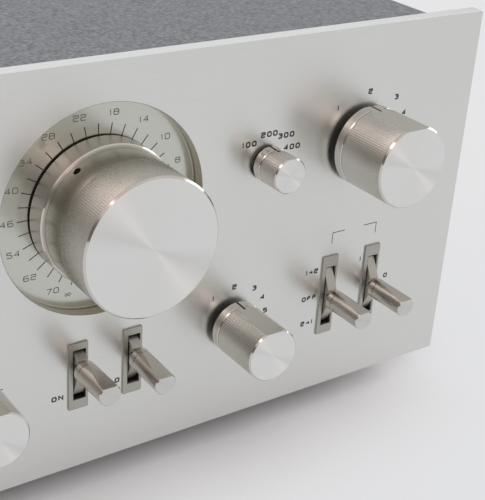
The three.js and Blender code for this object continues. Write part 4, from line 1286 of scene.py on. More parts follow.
@dataclass
class Knob:
    """A knob turned from bar: spun face, bright rim, straight knurl and a smooth base ring.

    Args:
        frame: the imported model.
        shape: the knob's own sizes.
        groove: width of the groove behind the knurl.
        groove_depth: depth of that groove.
        tooth: height of a tooth of the knurl.
        sunk: how far a tooth starts below the bar that it stands on.
        land: length of the plain land between the rim and the knurl.
        ease: the small bevel where the knurl ends and at the flange's rear edge.
        ring_bevels: bevel of the smooth ring's front edge and of its rear edge.
        band_step: from the volume knob's knurl down to the plain band behind it.
        flange_length: length of the volume knob's flange.
        lip: bevel of the flange's front edge.
        bore: radius of the bore for the shaft.
        mark_width: width of the pointer's line.
        mark_depth: depth of that line.
        mark_start: from the smooth ring's start forward to that line's.
        dot_radius: radius of the volume knob's pointer dot.
        dot_depth: depth of that dot.
        dot_setback: from the knob's rear face forward to the dot's middle.
        dot_angle: angle of that dot at rest, in degrees.
    """

    frame: Frame
    shape: KnobShape
    groove: float = 0.55
    groove_depth: float = 0.45
    tooth: float = 0.03
    sunk: float = 0.02
    land: float = 0.3
    ease: float = 0.1
    ring_bevels: tuple[float, float] = (0.2, 0.3)
    band_step: float = 0.02
    flange_length: float = 7.2
    lip: float = 0.4
    bore: float = 3.3
    mark_width: float = 0.8
    mark_depth: float = 0.15
    mark_start: float = 1.8
    dot_radius: float = 1.25
    dot_depth: float = 0.8
    dot_setback: float = 10.0
    dot_angle: float = -35.5

    def build(self) -> None:
        """Builds the knob and its knurl."""
        shape, name = self.shape, self.shape.name
        axis = self.frame.knob_axis(name)
        low, high = self.frame.span(f"{name}_knob")
        front, back = (depth - axis.y / MM for depth in (low.y, high.y))
        outer = (high.x - low.x) / 2
        radius = outer - shape.flange
        rim_end = front + shape.rim
        grip_end = back - shape.base - (self.flange_length if shape.flange else self.groove)
        body = Workpiece(f"{name}_knob_body", *KNOB_FINISHES)
        profile = [
            (0, front, Zone.FACE),
            (radius - shape.rim, front, Zone.RIM),
            (radius, rim_end, Zone.RIM),
            (radius, rim_end + self.land - 0.05, Zone.SIDE),
            (radius - self.tooth, rim_end + self.land, Zone.GRIP),
            (radius - self.tooth, grip_end, Zone.SIDE),
            *self._rear(radius, outer, grip_end, back),
            (self.bore, back, Zone.SIDE),
            (self.bore, front / 2, Zone.SIDE),
            (0, front / 2),
        ]
        body.turn(profile, shape.segments)
        made = body.object()
        slope = (shape.flat[0] - shape.flat[1]) / (grip_end - front)
        if not shape.flange:
            self._mill_flat(made, radius, slope, (front, grip_end))
        self._mark(made, radius, back)
        moves = f"{name}_knob_and_shaft"
        Place(axis, "turned_aluminium", moves, (f"{name}_knob",)).put(made)
        knurl = self._knurl(radius, slope, (front, grip_end))
        Place(axis, "turned_aluminium", moves).put(knurl)

    def _rear(
        self, radius: float, outer: float, grip_end: float, back: float
    ) -> tuple[tuple[float, float, Zone], ...]:
        """Lists the stations behind the knurl: a band and a flange, or a groove and a ring.

        Args:
            radius: the knob's radius.
            outer: the radius over its flange.
            grip_end: where the knurl ends.
            back: the solid's rear face.

        Returns:
            The stations in order.
        """
        edge, ease, lip = back + self.shape.reach, self.ease, self.lip
        if self.shape.flange:
            band, start = radius - self.band_step, back - self.flange_length + 2 * ease
            return (
                (band, grip_end + ease, Zone.SIDE),
                (band, start, Zone.RIM),
                (outer - lip, start, Zone.RIM),
                (outer, start + lip, Zone.BASE),
                (outer, edge - ease, Zone.BASE),
                (outer - ease, edge, Zone.BASE),
            )
        floor, ring = radius - self.groove_depth, back - self.shape.base
        ahead, behind = self.ring_bevels
        return (
            (floor, grip_end + ease, Zone.SIDE),
            (floor, ring, Zone.SIDE),
            (radius - ahead, ring, Zone.RIM),
            (radius, ring + ahead, Zone.SIDE),
            (radius, edge - behind, Zone.RIM),
            (radius - behind, edge, Zone.SIDE),
        )

    def _mill_flat(
        self, made: bpy.types.Object, radius: float, slope: float, grip: tuple[float, float]
    ) -> None:
        """Mills the flat on top, which shows where the knob points, from face to rear.

        Args:
            made: the knob's object, still in millimetres.
            radius: the knob's radius.
            slope: how far the flat rises to the rear, per millimetre.
            grip: the knob's front face and where the knurl ends.
        """
        front, grip_end = grip
        top = radius + 1
        ends = []
        for depth in (front - 1, grip_end + 2 * self.shape.base):
            floor = radius - self.shape.flat[0] + slope * (depth - front)
            corners = ((-radius, floor), (radius, floor), (radius, top), (-radius, top))
            ends.append([(x, depth, z) for x, z in corners])
        tool = Workpiece("flat_tool", *KNOB_FINISHES)
        tool.skin(ends, Zone.SIDE)
        cut_away(made, tool.object())

    def _mark(self, made: bpy.types.Object, radius: float, back: float) -> None:
        """Cuts the pointer into the knob and fills it dark.

        Args:
            made: the knob's object, still in millimetres.
            radius: the knob's radius.
            back: the knob's rear face.
        """
        tool = Workpiece("mark_tool", *KNOB_FINISHES)
        move = Matrix.Identity(4)
        if self.shape.flange:
            wide, half = self.dot_radius, 3
            stations = ((0, -half), (wide, -half), (wide, half), (0, half))
            tool.turn([(*station, Zone.MARK) for station in stations], 32)
            upright = Matrix.Rotation(math.radians(-90), 4, "X")
            swing = Matrix.Rotation(math.radians(self.dot_angle), 4, "Y")
            middle = (0, back - self.dot_setback, radius - self.dot_depth + half)
            move = swing @ Matrix.Translation(middle) @ upright
        else:
            half = self.mark_width / 2
            floor = radius - self.shape.flat[1] - self.mark_depth
            start = (-half, back - self.shape.base - self.mark_start, floor)
            tool.box(start, (half, back + 2, radius + 2), Zone.MARK)
        cutter = tool.object()
        cutter.data.transform(move)
        cut_away(made, cutter)

    def _knurl(self, radius: float, slope: float, grip: tuple[float, float]) -> bpy.types.Object:
        """Builds the teeth of the knurl round the grip, and trims them at the flat.

        Args:
            radius: radius over the teeth.
            slope: how far the flat rises to the rear, per millimetre.
            grip: the knob's front face and where the teeth end.

        Returns:
            The teeth, still in millimetres.
        """
        front, grip_end = grip
        half = math.pi * radius / self.shape.teeth
        foot = radius - self.tooth - self.sunk
        corners = ((-half, foot), (0, radius), (half, foot))
        ends = (front + self.shape.rim + self.land, grip_end)
        tooth = Workpiece(f"{self.shape.name}_knurl", KNURL)
        tooth.skin([[(x, y, z) for x, z in corners] for y in ends])
        row = Repeat(self.shape.teeth, turn_step=360 / self.shape.teeth)
        knurl = row.apply(tooth.object(10), KNURL)
        ahead = self.shape.flat[0]
        if ahead:
            mesh = bmesh.new()
            mesh.from_mesh(knurl.data)
            slice_off(mesh, (0, front, radius - ahead), (0, -slope, 1))
            bmesh.ops.recalc_face_normals(mesh, faces=mesh.faces)
            mesh.to_mesh(knurl.data)
            mesh.free()
        return knurl


@dataclass
class Lever:
    """A lever switch: escutcheon in the slot, rocker, and round barrel with a thumb flat on top.

    Args:
        frame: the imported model.
        place: the lever's own sizes.
        pivot_depth: from the panel's face back to the pivot.
        tip: from the panel's face to the barrel's end.
        radius: the barrel's radius.
        collar: from the panel's face to the start and the end of the collar.
        bevels: the barrel's bevel at its tip, its groove's depth, and its bevel at the collar.
        segments: faces round the barrel and round the trunnions.
        flat_length: length of the thumb flat.
        flat_depth: its depth at the barrel's end.
        down: how far the escutcheon reaches below the lever's middle line.
        window_down: how far its window does.
        window_width: the window's width.
        slot_width: the escutcheon's width.
        slot_corner: radius of its corners.
        slot_bevel: bevel of its front edges.
        offset: how far its middle stands to the left of the lever.
        proud: how far it stands out of the panel.
        nose: how far the rocker's nose stands out of the panel, and half of its height.
        hub: radius of the rocker round its pivot.
        wing: thickness of the rocker at its rims.
        wing_down: how far its lower rim reaches down.
        half_width: half of the rocker's width.
        rounding: rounding of its edges.
        pin: radius of its trunnions, and half of the length over both.
    """

    frame: Frame
    place: LeverPlace
    pivot_depth: float = 11.0
    tip: float = 21.2
    radius: float = 3.8
    collar: tuple[float, float] = (3.9, 6.3)
    bevels: tuple[float, float, float] = (0.35, 0.3, 0.2)
    segments: tuple[int, int] = (64, 16)
    flat_length: float = 12.4
    flat_depth: float = 1.05
    down: float = 15.65
    window_down: float = 11.98
    window_width: float = 4.36
    slot_width: float = 7.12
    slot_corner: float = 0.5
    slot_bevel: float = 0.15
    offset: float = 0.5
    proud: float = 0.53
    nose: tuple[float, float] = (2.8, 3.4)
    hub: float = 3.5
    wing: float = 1.6
    wing_down: float = 11.0
    half_width: float = 1.95
    rounding: float = 0.2
    pin: tuple[float, float] = (1.2, 2.9)

    def build(self) -> None:
        """Builds the lever and its escutcheon."""
        name = self.place.name
        pivot = self.frame.joint(f"{name}_rocker")
        lever = Workpiece(f"{name}_lever_body", BARREL, BRIGHT, TIP, ROCKER)
        self._barrel(lever)
        self._rocker(lever)
        where = Place(
            pivot, "turned_aluminium", f"{name}_rocker", (f"{name}_lever",), self.place.tilt
        )
        where.put(lever.object(10))
        self._escutcheon(pivot)

    def _barrel(self, lever: Workpiece) -> None:
        """Turns the barrel with its collar and groove, and shaves the thumb flat.

        Args:
            lever: the workpiece that gets it.
        """
        tip = -self.tip - self.pivot_depth
        start, end = (-depth - self.pivot_depth for depth in self.collar)
        r = self.radius
        edge, groove, rear = self.bevels
        profile = (
            (0, tip, 2), (r - edge, tip, 1), (r, tip + edge), (r, end - edge, 1),
            (r - groove, end - groove), (r - groove, end), (r, end + 0.1), (r, start - rear, 1),
            (r - rear, start, 1), (2.6, start + 2), (0, start + 2),
        )  # fmt: skip
        lever.turn(profile, self.segments[0])
        slope = self.flat_depth / self.flat_length
        for flat in slice_off(lever.mesh, (0, tip + self.flat_length, r), (0, -slope, 1)):
            flat.material_index = 0

    def _rocker(self, lever: Workpiece) -> None:
        """Adds the rocker with its sloping flanks, and its trunnions.

        Args:
            lever: the workpiece that gets them.
        """
        stand, height = self.nose
        nose, lower, upper = (
            depth - self.pivot_depth for depth in (-stand, 1, self.place.rim_back)
        )
        outline = (
            (nose, -height),
            (lower, -self.wing_down),
            (lower + self.wing, -self.wing_down),
            *(clock(self.hub, 180 - 15 * step) for step in range(13)),
            (upper + self.wing, self.place.rim),
            (upper, self.place.rim),
            (nose, height),
        )
        rocker = Workpiece("rocker")
        rocker.skin([[(x, y, z) for y, z in outline] for x in (-self.half_width, self.half_width)])
        mesh = rocker.mesh
        bmesh.ops.recalc_face_normals(mesh, faces=mesh.faces)
        round_off = {"offset": self.rounding, "segments": 2, "affect": "EDGES", "profile": 0.5}
        bmesh.ops.bevel(mesh, geom=list(mesh.edges), **round_off)
        lever.absorb(rocker, 3)
        radius, half = self.pin
        pin = Workpiece("pin")
        profile = ((0, -half), (radius, -half), (radius, half), (0, half))
        pin.turn(profile, self.segments[1])
        lever.absorb(pin, 3, turned=90)

    def _escutcheon(self, pivot: Vector) -> None:
        """Builds the thin escutcheon that fills the slot round the rocker's window.

        Args:
            pivot: the point on the lever's axis, in metres.
        """
        up, down = self.place.up, self.down
        sizes = self.slot_width, up + down, self.slot_corner
        outer = Outline(-self.offset, (up - down) / 2, *sizes, 4)
        up, down = self.place.window_up, self.window_down
        window = Outline(0, (up - down) / 2, self.window_width, up + down, 0.1, 2)
        front, back = (depth - self.pivot_depth for depth in (-self.proud, 0.02))
        trim = Workpiece(f"{self.place.name}_escutcheon", ESCUTCHEON)
        trim.plate(outer, [window], front, back, self.slot_bevel)
        Place(pivot, "escutcheon").put(trim.object())


@dataclass
class HeadphoneSocket:
    """The headphone jack and its round nut.

    Args:
        frame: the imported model.
        bore: radius of the jack's bore.
        bevel: the chamfer round the nut.
        bush: radius of the jack's threaded front.
        body_length: length of its body behind the panel.
        nut_bore: radius of the nut's bore.
        lead_in: bevel of both bores.
        springs: from the jack's front to the bright part of its bore, and to the bore's end.
        segments: faces round the nut and round the jack.
    """

    frame: Frame
    bore: float = 3.4
    bevel: float = 0.5
    bush: float = 4.9
    body_length: float = 24.0
    nut_bore: float = 5.1
    lead_in: float = 0.3
    springs: tuple[float, float] = (6.0, 28.0)
    segments: tuple[int, int] = (72, 48)

    def build(self) -> None:
        """Builds the nut and the jack's barrel, with its body behind the panel."""
        ring, jack = self.frame.span("headphone_nut"), self.frame.span("headphone_jack")
        radius, length, inner = ring.size.x / 2, ring.size.y, self.nut_bore
        ease, (bright, end) = self.lead_in, self.springs
        nut = Workpiece("headphone_nut_ring", NICKEL)
        profile = (
            (inner, ease), (inner + ease, 0), (radius - self.bevel, 0), (radius, self.bevel),
            (radius, length), (inner, length),
        )  # fmt: skip
        nut.turn(profile, self.segments[0], closed=True)
        Place(ring.seat, "nickelled_steel", replaces=("headphone_nut",)).put(nut.object())
        radius, length, bore = jack.size.x / 2, jack.size.y, self.bore
        step = length - self.body_length
        barrel = Workpiece("headphone_barrel", BLACK_PLASTIC, NICKEL)
        profile = (
            (bore, ease), (bore + ease, 0), (self.bush, 0), (self.bush, step), (radius, step),
            (radius, length), (0, length), (0, end, 1), (bore, end, 1), (bore, bright),
        )  # fmt: skip
        barrel.turn(profile, self.segments[1], closed=True)
        Place(ring.seat, "black_plastic", replaces=("headphone_jack",)).put(barrel.object())


@dataclass
class Bonnet:
    """The steel cover: a sheet bent down at both sides, with ventilation slots in its top.

    Args:
        frame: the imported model.
        wall: the sheet's thickness.
        bend: the bend's outer radius.
        steps: straight pieces in a bend.
        vent: length and width of a slot.
        pitch: from one slot to the next.
        count: slots in each group.
        groups: the groups' middles as shares of the panel's width.
        setback: from the panel's face to the slots.
    """

    frame: Frame
    wall: float = 1.2
    bend: float = 3.0
    steps: int = 8
    vent: tuple[float, float] = (44.0, 3.4)
    pitch: float = 12.0
    count: int = 10
    groups: tuple[float, float] = (-0.24, 0.24)
    setback: float = 190.0

    def build(self) -> None:
        """Builds the sheet and cuts its slots."""
        low, high = self.frame.span("top_cover")
        panel = self.frame.span("front_panel")
        outside, inside = (
            self._arch(high.x - by, high.z - by, self.bend - by, low.z) for by in (0, self.wall)
        )
        sections = []
        for (x, z), (inner_x, inner_z) in zip(outside, inside):
            front, back = ([(x, y, z), (inner_x, y, inner_z)] for y in (low.y, high.y))
            sections.append(front + back[::-1])
        sheet = Workpiece("steel_bonnet", ENAMEL)
        sheet.skin(sections)
        made = sheet.object()
        length, width = self.vent
        slot = Outline(0, 0, width, length, width / 2 - 0.01, 6).points(0, 0)
        middle = panel.low.y + self.setback + length / 2
        for share in self.groups:
            first = share * panel.size.x - (self.count - 1) * self.pitch / 2
            levels = (high.z - self.wall - 1, high.z + 1)
            tool = Workpiece("vent_tool", ENAMEL)
            tool.skin([[(p.x + first, p.z + middle, z) for p in slot] for z in levels])
            row = Repeat(self.count, columns=self.count, column_step=(self.pitch, 0, 0))
            cut_away(made, row.apply(tool.object(), ENAMEL))
        Place(Vector(), "enamelled_steel", replaces=("top_cover",)).put(made)

    def _arch(
        self, half: float, top: float, bend: float, bottom: float
    ) -> list[tuple[float, float]]:
        """Lists the points of an arch with round upper corners.

        Args:
            half: half of its width.
            top: its height.
            bend: radius of its corners.
            bottom: where its feet end.

        Returns:
            The points across and up, from right to left.
        """
        points = [(half, bottom)]
        for middle, first in ((half - bend, 90), (bend - half, 0)):
            for step in range(self.steps + 1):
                x, z = clock(bend, first - 90 * step / self.steps)
                points.append((middle + x, top - bend + z))
        return [*points, (-half, bottom)]


@dataclass
class Connectors:
    """A plate at the back with two rows of turned connectors.

    Args:
        frame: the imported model.
        node: the CAD node that it stands for.
        name: what its pieces' names start with.
        columns: connectors in a row.
        pitch: from one connector to the next, and from row to row.
        segments: faces round a connector.
        plate: the plate's thickness.
        corner: radius of the plate's corners.
        bevel: bevel of the plate's edges.
    """

    frame: Frame
    node: str
    name: str
    columns: int
    pitch: float
    segments: int
    plate: float = 2.0
    corner: float = 2.0
    bevel: float = 0.2

    def build_plate(self) -> None:
        """Builds the plate."""
        box = self.frame.span(self.node)
        plate = Workpiece(f"{self.name}_plate", SWITCH_CASE)
        outer = Outline(0, 0, box.size.x, box.size.z, self.corner)
        plate.plate(outer, [], 0, self.plate, self.bevel)
        Place(box.seat, "black_plastic", replaces=(self.node,)).put(plate.object())

    def build_part(self, part: Workpiece, slot: str, rows: tuple[int, ...]) -> None:
        """Copies one part to every connector of the rows.

        Args:
            part: the part about its connector's axis.
            slot: its material slot.
            rows: minus one for the lower row and one for the upper.
        """
        half = self.pitch / 2
        finish = part.finishes[0]
        seed = part.object()
        first = (-(self.columns - 1) * half, 0, rows[0] * half)
        seed.data.transform(Matrix.Translation(first))
        count = self.columns * len(rows)
        grid = Repeat(count, self.columns, (self.pitch, 0, 0), (0, 0, self.pitch))
        Place(self.frame.span(self.node).seat, slot).put(grid.apply(seed, finish))


@dataclass
class SignalSockets(Connectors):
    """Two rows of phono sockets on a dark plate.

    Args:
        bore: radius of the shell's bore.
        shell: radius of the shell.
    """

    node: str = "phono_jacks"
    name: str = "socket"
    columns: int = 7
    pitch: float = 19.0
    segments: int = 32
    bore: float = 3.45
    shell: float = 4.2

    def build(self) -> None:
        """Builds the plate, the shells and the two colours of insulator."""
        self.build_plate()
        tip, plate = self.frame.span(self.node).size.y, self.plate
        bore, outer, inner = self.bore, self.shell, self.bore - 0.02
        shell = (
            (bore, plate), (5.4, plate), (5.4, plate + 0.8), (outer, plate + 1),
            (outer, tip - 0.3), (outer - 0.25, tip), (bore, tip),
        )  # fmt: skip
        core = (
            (0, plate), (inner, plate), (inner, plate + 2), (2.1, plate + 2.2),
            (2.1, tip - 1.2), (1.9, tip - 1), (0.9, tip - 1), (0.9, plate + 3), (0, plate + 3),
        )  # fmt: skip
        for name, profile, finish, rows in (
            ("shells", shell, NICKEL, (-1, 1)),
            ("right_insulators", core, RED_PLASTIC, (-1,)),
            ("left_insulators", core, WHITE_PLASTIC, (1,)),
        ):
            part = Workpiece(f"socket_{name}", finish)
            part.turn(profile, self.segments, closed=profile is shell)
            self.build_part(part, "nickelled_steel", rows)


@dataclass
class SpeakerPosts(Connectors):
    """Screw terminals with fluted caps for two pairs of speakers.

    Args:
        post: radius of the screw.
        cap: radius of a cap.
        flute_depth: depth of its flutes.
    """

    node: str = "speaker_terminals"
    name: str = "terminal"
    columns: int = 4
    pitch: float = 21.0
    segments: int = 64
    post: float = 2.0
    cap: float = 4.95
    flute_depth: float = 0.35

    def build(self) -> None:
        """Builds the plate, the collars and the caps, black below and red above."""
        self.build_plate()
        tip, plate = self.frame.span(self.node).size.y, self.plate
        post, outer, bore = self.post, self.cap, self.post + 0.02
        collar = (
            (0, plate), (4.4, plate), (4.4, plate + 1.4), (post, plate + 1.5), (post, tip),
            (0, tip),
        )  # fmt: skip
        cap = (
            (bore, plate + 2.6), (outer - 0.35, plate + 2.6), (outer, plate + 3),
            (outer, tip - 1.2), (4.4, tip - 0.4), (bore, tip - 0.4),
        )  # fmt: skip
        for name, profile, finish, slot, rows in (
            ("collars", collar, NICKEL, "nickelled_steel", (-1, 1)),
            ("minus_caps", cap, BLACK_PLASTIC, "black_plastic", (-1,)),
            ("plus_caps", cap, RED_PLASTIC, "black_plastic", (1,)),
        ):
            part = Workpiece(f"terminal_{name}", finish)
            part.turn(profile, self.segments, closed=profile is cap)
            if profile is cap:
                part.flute(outer - 0.15, self.segments // 4, self.flute_depth)
            self.build_part(part, slot, rows)


@dataclass
class RearFittings:
    """The ground terminal and the mains gland.

    Args:
        frame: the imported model.
        flutes: flutes round the ground terminal's nut.
        nut: radius of that nut.
        gland: radius of the gland's bush.
    """

    frame: Frame
    flutes: int = 20
    nut: float = 5.0
    gland: float = 6.5

    def build(self) -> None:
        """Builds both."""
        box = self.frame.span("ground_terminal")
        tip, washer = box.size.y, box.size.x / 2
        post = Workpiece("ground_screw", NICKEL)
        post.turn(((0, 0), (washer, 0), (washer, 1), (2, 1.1), (2, tip), (0, tip)), 48)
        Place(box.seat, "nickelled_steel", replaces=("ground_terminal",)).put(post.object())
        nut = Workpiece("ground_nut", NICKEL)
        profile = (
            (2.02, 2), (self.nut - 0.3, 2), (self.nut, 2.4), (self.nut, 6.4), (3.4, 7), (3.2, 9),
            (2.02, 9),
        )  # fmt: skip
        nut.turn(profile, self.flutes * 4, closed=True)
        nut.flute(self.nut - 0.1, self.flutes, 0.3)
        Place(box.seat, "nickelled_steel").put(nut.object())
        box = self.frame.span("mains_gland")
        length, outer, bush = box.size.y, box.size.x / 2, self.gland
        flange = length - 4
        gland = Workpiece("strain_relief_gland", BLACK_PLASTIC)
        profile = (
            (3.9, 0), (bush - 0.2, 0), (bush, 0.3), (bush, flange), (outer, flange),
            (outer, flange + 1), (outer - 2, length - 0.6), (outer - 2.6, length), (4.1, length),
            (3.7, length - 0.4), (3.7, 0.3),
        )  # fmt: skip
        gland.turn(profile, 64, closed=True)
        Place(box.seat, "black_plastic", replaces=("mains_gland",)).put(gland.object())


@dataclass
class RearPrint:
    """Plain numbers printed on the back above the connectors.

    Args:
        frame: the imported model.
        rows: the connectors that are numbered.
        height: height of the numbers.
    """

    frame: Frame
    rows: tuple[Connectors, ...]
    height: float = 3.0

    def build(self) -> None:
        """Builds the numbers, which face the back."""
        sheet = Workpiece("rear_print", PALE_INK)
        for row in self.rows:
            box = self.frame.span(row.node)
            for index in range(row.columns):
                x = box.middle.x + (index - (row.columns - 1) / 2) * row.pitch
                place = (x, 0, box.high.z + self.height)
                letter(sheet, str(row.columns - index), self.height, place, turned=True)
        face = Vector((0, self.frame.span("rear_panel").high.y, 0)) * MM
        Place(face, "enamelled_steel").put(sheet.object())


@dataclass
class Feet:
    """Four rubber feet, each with a screw in its recess.

    Args:
        frame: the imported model.
        base: radius of the face on the floor.
        recess: radius and depth of the recess.
        screw: radius of the screw's head.
    """

    frame: Frame
    base: float = 11.0
    recess: tuple[float, float] = (5.0, 4.0)
    screw: float = 3.0

    def build(self) -> None:
        """Builds the feet."""
        radius, depth = self.recess
        for name in ("front_left", "front_right", "rear_left", "rear_right"):
            box = self.frame.span(f"foot_{name}")
            outer, height = box.size.x / 2, box.high.z
            foot = Workpiece(f"rubber_foot_{name}", RUBBER, ZINC)
            profile = (
                (0, depth - 1.4, 1), (self.screw - 0.4, depth - 1, 1), (self.screw, depth),
                (radius, depth), (radius, 0.4), (radius + 0.4, 0), (self.base - 0.8, 0),
                (self.base, 0.6), (outer - 0.3, height * 0.68), (outer, height * 0.74),
                (outer, height), (0, height),
            )  # fmt: skip
            foot.turn(profile, 96)
            centre = Vector((box.middle.x, box.middle.y, 0)) * MM
            where = Place(centre, "black_rubber", replaces=(f"foot_{name}",), tilt=90)
            where.put(foot.object())


@dataclass
class CaseScrews:
    """The pan head screws with a cross recess that hold the cover and the rear panel.

    Args:
        frame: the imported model.
        radius: a head's radius.
        height: a head's height.
        slot: width of the recess.
        reach: the recess's reach from the middle, as a share of the radius.
        segments: faces round a head.
        side_start: from the cover's front and lower edge to the first screw on a side.
        side_end: from its rear and upper edge to the last one.
        inset: from the rear panel's edges to the screws in it.
    """

    frame: Frame
    radius: float = 3.2
    height: float = 1.7
    slot: float = 0.8
    reach: float = 0.62
    segments: int = 32
    side_start: tuple[float, float] = (20.0, 9.0)
    side_end: tuple[float, float] = (16.0, 22.0)
    inset: float = 9.0

    def build(self) -> None:
        """Builds the screws of both sides and of the back."""
        low, high = self.frame.span("top_cover")
        rear_low, rear_high = self.frame.span("rear_panel")
        start = low.y + self.side_start[0], low.z + self.side_start[1]
        end = high.y - self.side_end[0], high.z - self.side_end[1]
        steps = (0, end[0] - start[0], 0), (0, 0, end[1] - start[1])
        self._set("right_side", (high.x, *start), -90, Repeat(4, 2, *steps))
        self._set("left_side", (low.x, *start), 90, Repeat(4, 2, *steps))
        inset, size = self.inset, rear_high - rear_low
        first = (rear_low.x + inset, rear_high.y, rear_low.z + inset)
        steps = (size.x / 2 - inset, 0, 0), (0, 0, size.z - 2 * inset)
        self._set("back", first, 0, Repeat(6, 3, *steps))

    def _set(self, name: str, first: Point, turn: float, grid: Repeat) -> None:
        """Builds one screw and copies it over a grid.

        Args:
            name: the side of the case.
            first: the middle of the first head's seat, in millimetres.
            turn: its turn about Z in degrees, from a head that faces the back.
            grid: the rows of screws.
        """
        r, h = self.radius, self.height
        head = Workpiece("screw_head", BLACK_SCREW)
        profile = ((0, -0.3), (r, -0.3), (r, h * 0.35), (r * 0.85, h * 0.75), (r * 0.5, h), (0, h))
        head.turn(profile, self.segments)
        made = head.object()
        long, half = r * self.reach, self.slot / 2
        for x, z in ((long, half), (half, long)):
            tool = Workpiece("recess_tool", BLACK_SCREW)
            tool.box((-x, h * 0.35, -z), (x, h + 1, z))
            cut_away(made, tool.object(), 30)
        clean = Workpiece(f"{name}_screws", BLACK_SCREW)
        clean.mesh.from_mesh(made.data)
        bpy.data.objects.remove(made)
        seed = clean.object()
        upright = Matrix.Rotation(math.radians(turn), 4, "Z")
        seed.data.transform(Matrix.Translation(first) @ upright)
        Place(Vector(), "enamelled_steel").put(grid.apply(seed, BLACK_SCREW))


# Studio


class Lamp(NamedTuple):
    """A soft rectangular lamp: its place, size in metres, power in watts and colour."""

    name: str
    place: Point
    target: Point
    size: tuple[float, float]
    power: float
    colour: str


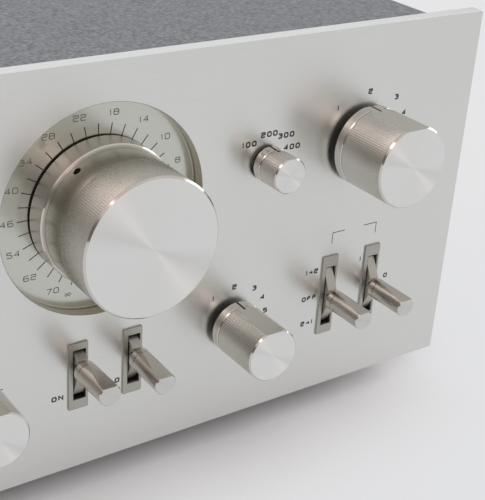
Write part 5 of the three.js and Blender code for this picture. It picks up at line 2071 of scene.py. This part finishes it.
@dataclass
class Studio:
    """The floor, the lights and the camera.

    Args:
        focal: the camera's focal length in millimetres.
        sensor: its sensor's width in millimetres.
        eye: its place in metres.
        spin: its turn as a rotation vector, from looking along Y with Z up.
        floor_colour: the floor's sRGB colour.
        floor_reach: half of the floor's width in metres.
        glow: how pale the floor's own tone is.
        glow_colour: that tone.
        glow_share: how much of what is seen of the open floor is that tone.
        shadow_reach: how near a thing stands, in metres, where the floor loses that tone.
        openness: how open the floor is where that tone starts and where it is full.
        sky: colour and strength of the sky's light.
        room: colour and strength of what mirrors see of the room.
        sides: direction and colour of the dark part of the room, and of its warm lit part above.
        side_edge: cosines of the angles where such a part starts and is full.
        lamps: the lamps.
    """

    focal: float = 82.4
    sensor: float = 36.0
    eye: Point = (-0.09585, -0.4337, 0.24946)
    spin: Point = (0.4658, -0.6066, -0.078)
    floor_colour: str = "EFEAEA"
    floor_reach: float = 6.0
    glow: float = 0.87
    glow_colour: str = "F1F2F4"
    glow_share: float = 0.9
    shadow_reach: float = 0.075
    openness: tuple[float, float] = (0.3, 0.92)
    sky: tuple[str, float] = ("F4F4F6", 0.93)
    room: tuple[str, float] = ("EAEAE9", 0.9)
    sides: tuple[tuple[Point, str], ...] = (
        ((-0.744, -0.663, 0.08), "7F7771"),
        ((-0.331, -0.701, 0.631), "F0E2E0"),
    )
    side_edge: tuple[float, float] = (0.89, 0.98)
    lamps: tuple[Lamp, ...] = (
        Lamp("ceiling", (-0.7, 0.95, 1.2), (0.05, -0.1, 0.05), (1.4, 1.0), 18, "FFE4DA"),
        Lamp("lampshade", (-0.51, -1.29, 1.12), (0.05, -0.1, 0.05), (0.4, 0.3), 1.0, "FFF1F3"),
        Lamp("window", (1.9, 0.1, 0.6), (0.1, -0.1, 0.05), (1.0, 0.8), 5, "F8FBFF"),
    )

    def build(self) -> None:
        """Builds the floor, the world, the lamps and the camera."""
        self._floor()
        self._world()
        for lamp in self.lamps:
            self._hang(lamp)
        self._camera()

    def _floor(self) -> None:
        """Builds the pale floor."""
        mesh = bpy.data.meshes.new("studio_floor")
        corners = ((-1, -1), (1, -1), (1, 1), (-1, 1))
        reach = self.floor_reach
        mesh.from_pydata([(x * reach, y * reach, 0) for x, y in corners], [], [(0, 1, 2, 3)])
        floor = bpy.data.objects.new("studio_floor", mesh)
        bpy.context.scene.collection.objects.link(floor)
        material = Finish("matt_paper", self.floor_colour, 0, 0.9, 2.0, 0.004, 0.001).build()
        self._glow(material)
        mesh.materials.append(material)

    def _glow(self, material: bpy.types.Material) -> None:
        """Lets the floor look paler than the light on it, without lighting the object more.

        Args:
            material: the floor's material.
        """
        tree = material.node_tree
        add = partial(add_node, tree)
        paper = tree.nodes["Principled BSDF"].outputs[0]
        tone = {"Color": linear(self.glow_colour), "Strength": self.glow}
        shine = add("ShaderNodeEmission", inputs=tone).outputs[0]
        near = {"Distance": self.shadow_reach}
        openness = add("ShaderNodeAmbientOcclusion", {"samples": 8}, near).outputs["AO"]
        start, full = self.openness
        ramp = {"Value": openness, "From Min": start, "From Max": full, "To Max": self.glow_share}
        smooth = {"interpolation_type": "SMOOTHSTEP"}
        share = add("ShaderNodeMapRange", smooth, ramp).outputs[0]
        both = add("ShaderNodeMixShader", inputs={0: share, 1: paper, 2: shine}).outputs[0]
        seen = {0: seen_directly(tree), 1: paper, 2: both}
        mixed = add("ShaderNodeMixShader", inputs=seen).outputs[0]
        tree.links.new(mixed, tree.nodes["Material Output"].inputs["Surface"])

    def _world(self) -> None:
        """Makes the sky: a plain level for light, and a paler one for what sees it."""
        world = bpy.data.worlds.new("studio")
        world.use_nodes = True
        tree = world.node_tree
        tree.nodes.clear()
        add = partial(add_node, tree)
        way = add("ShaderNodeTexCoord").outputs["Generated"]
        edge, full = self.side_edge
        room: Any = linear(self.room[0])
        for side, colour in self.sides:
            facing = add(
                "ShaderNodeVectorMath", {"operation": "DOT_PRODUCT"}, {0: way, 1: side}
            ).outputs["Value"]
            ramp = {"Value": facing, "From Min": edge, "From Max": full}
            smooth = {"interpolation_type": "SMOOTHSTEP"}
            share = add("ShaderNodeMapRange", smooth, ramp).outputs[0]
            tones = {"Factor": share, 6: room, 7: linear(colour)}
            room = add("ShaderNodeMix", {"data_type": "RGBA"}, tones).outputs[2]
        levels = ((linear(self.sky[0]), self.sky[1]), (room, self.room[1]))
        light, seen = (
            add("ShaderNodeBackground", inputs={"Color": tone, "Strength": strength}).outputs[0]
            for tone, strength in levels
        )
        mixed = add("ShaderNodeMixShader", inputs={0: seen_directly(tree), 1: light, 2: seen})
        add("ShaderNodeOutputWorld", inputs={0: mixed.outputs[0]})
        bpy.context.scene.world = world

    def _hang(self, lamp: Lamp) -> None:
        """Hangs a lamp and aims it.

        Args:
            lamp: the lamp.
        """
        light = bpy.data.lights.new(lamp.name, "AREA")
        light.shape = "RECTANGLE"
        light.size, light.size_y = lamp.size
        light.energy = lamp.power
        light.color = linear(lamp.colour)[:3]
        held = bpy.data.objects.new(lamp.name, light)
        held.location = lamp.place
        aim = Vector(lamp.target) - Vector(lamp.place)
        held.rotation_euler = aim.to_track_quat("-Z", "Y").to_euler()
        bpy.context.scene.collection.objects.link(held)

    def _camera(self) -> None:
        """Sets the camera at the photograph's viewpoint."""
        turn = Vector(self.spin)
        rotation = Matrix.Rotation(turn.length, 3, turn.normalized())
        right, down, forward = rotation @ Matrix(((1, 0, 0), (0, 0, -1), (0, 1, 0)))
        axes = Matrix((right, -down, -forward)).transposed()
        lens = bpy.data.cameras.new("photo_camera")
        lens.lens = self.focal
        lens.sensor_width = self.sensor
        lens.clip_start = 0.01
        camera = bpy.data.objects.new("photo_camera", lens)
        camera.matrix_world = Matrix.Translation(self.eye) @ axes.to_4x4()
        bpy.context.scene.collection.objects.link(camera)
        bpy.context.scene.camera = camera


def main() -> None:
    """Loads the frame, builds every sub-assembly and sets the studio up."""
    logging.basicConfig(level=logging.INFO, format="%(name)s: %(message)s")
    frame = Frame(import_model())
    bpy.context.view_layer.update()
    bpy.context.scene.view_settings.view_transform = "Standard"
    connectors = (SignalSockets(frame), SpeakerPosts(frame))
    for part in (
        Studio(),
        FrontPlate(frame),
        Dial(frame),
        FrontPrint(frame),
        *(Knob(frame, shape) for shape in KNOBS),
        *(Lever(frame, lever) for lever in LEVERS),
        HeadphoneSocket(frame),
        Bonnet(frame),
        *connectors,
        RearFittings(frame),
        RearPrint(frame, connectors),
        Feet(frame),
        CaseScrews(frame),
    ):
        part.build()
    frame.dress()


if __name__ == "__main__":
    main()
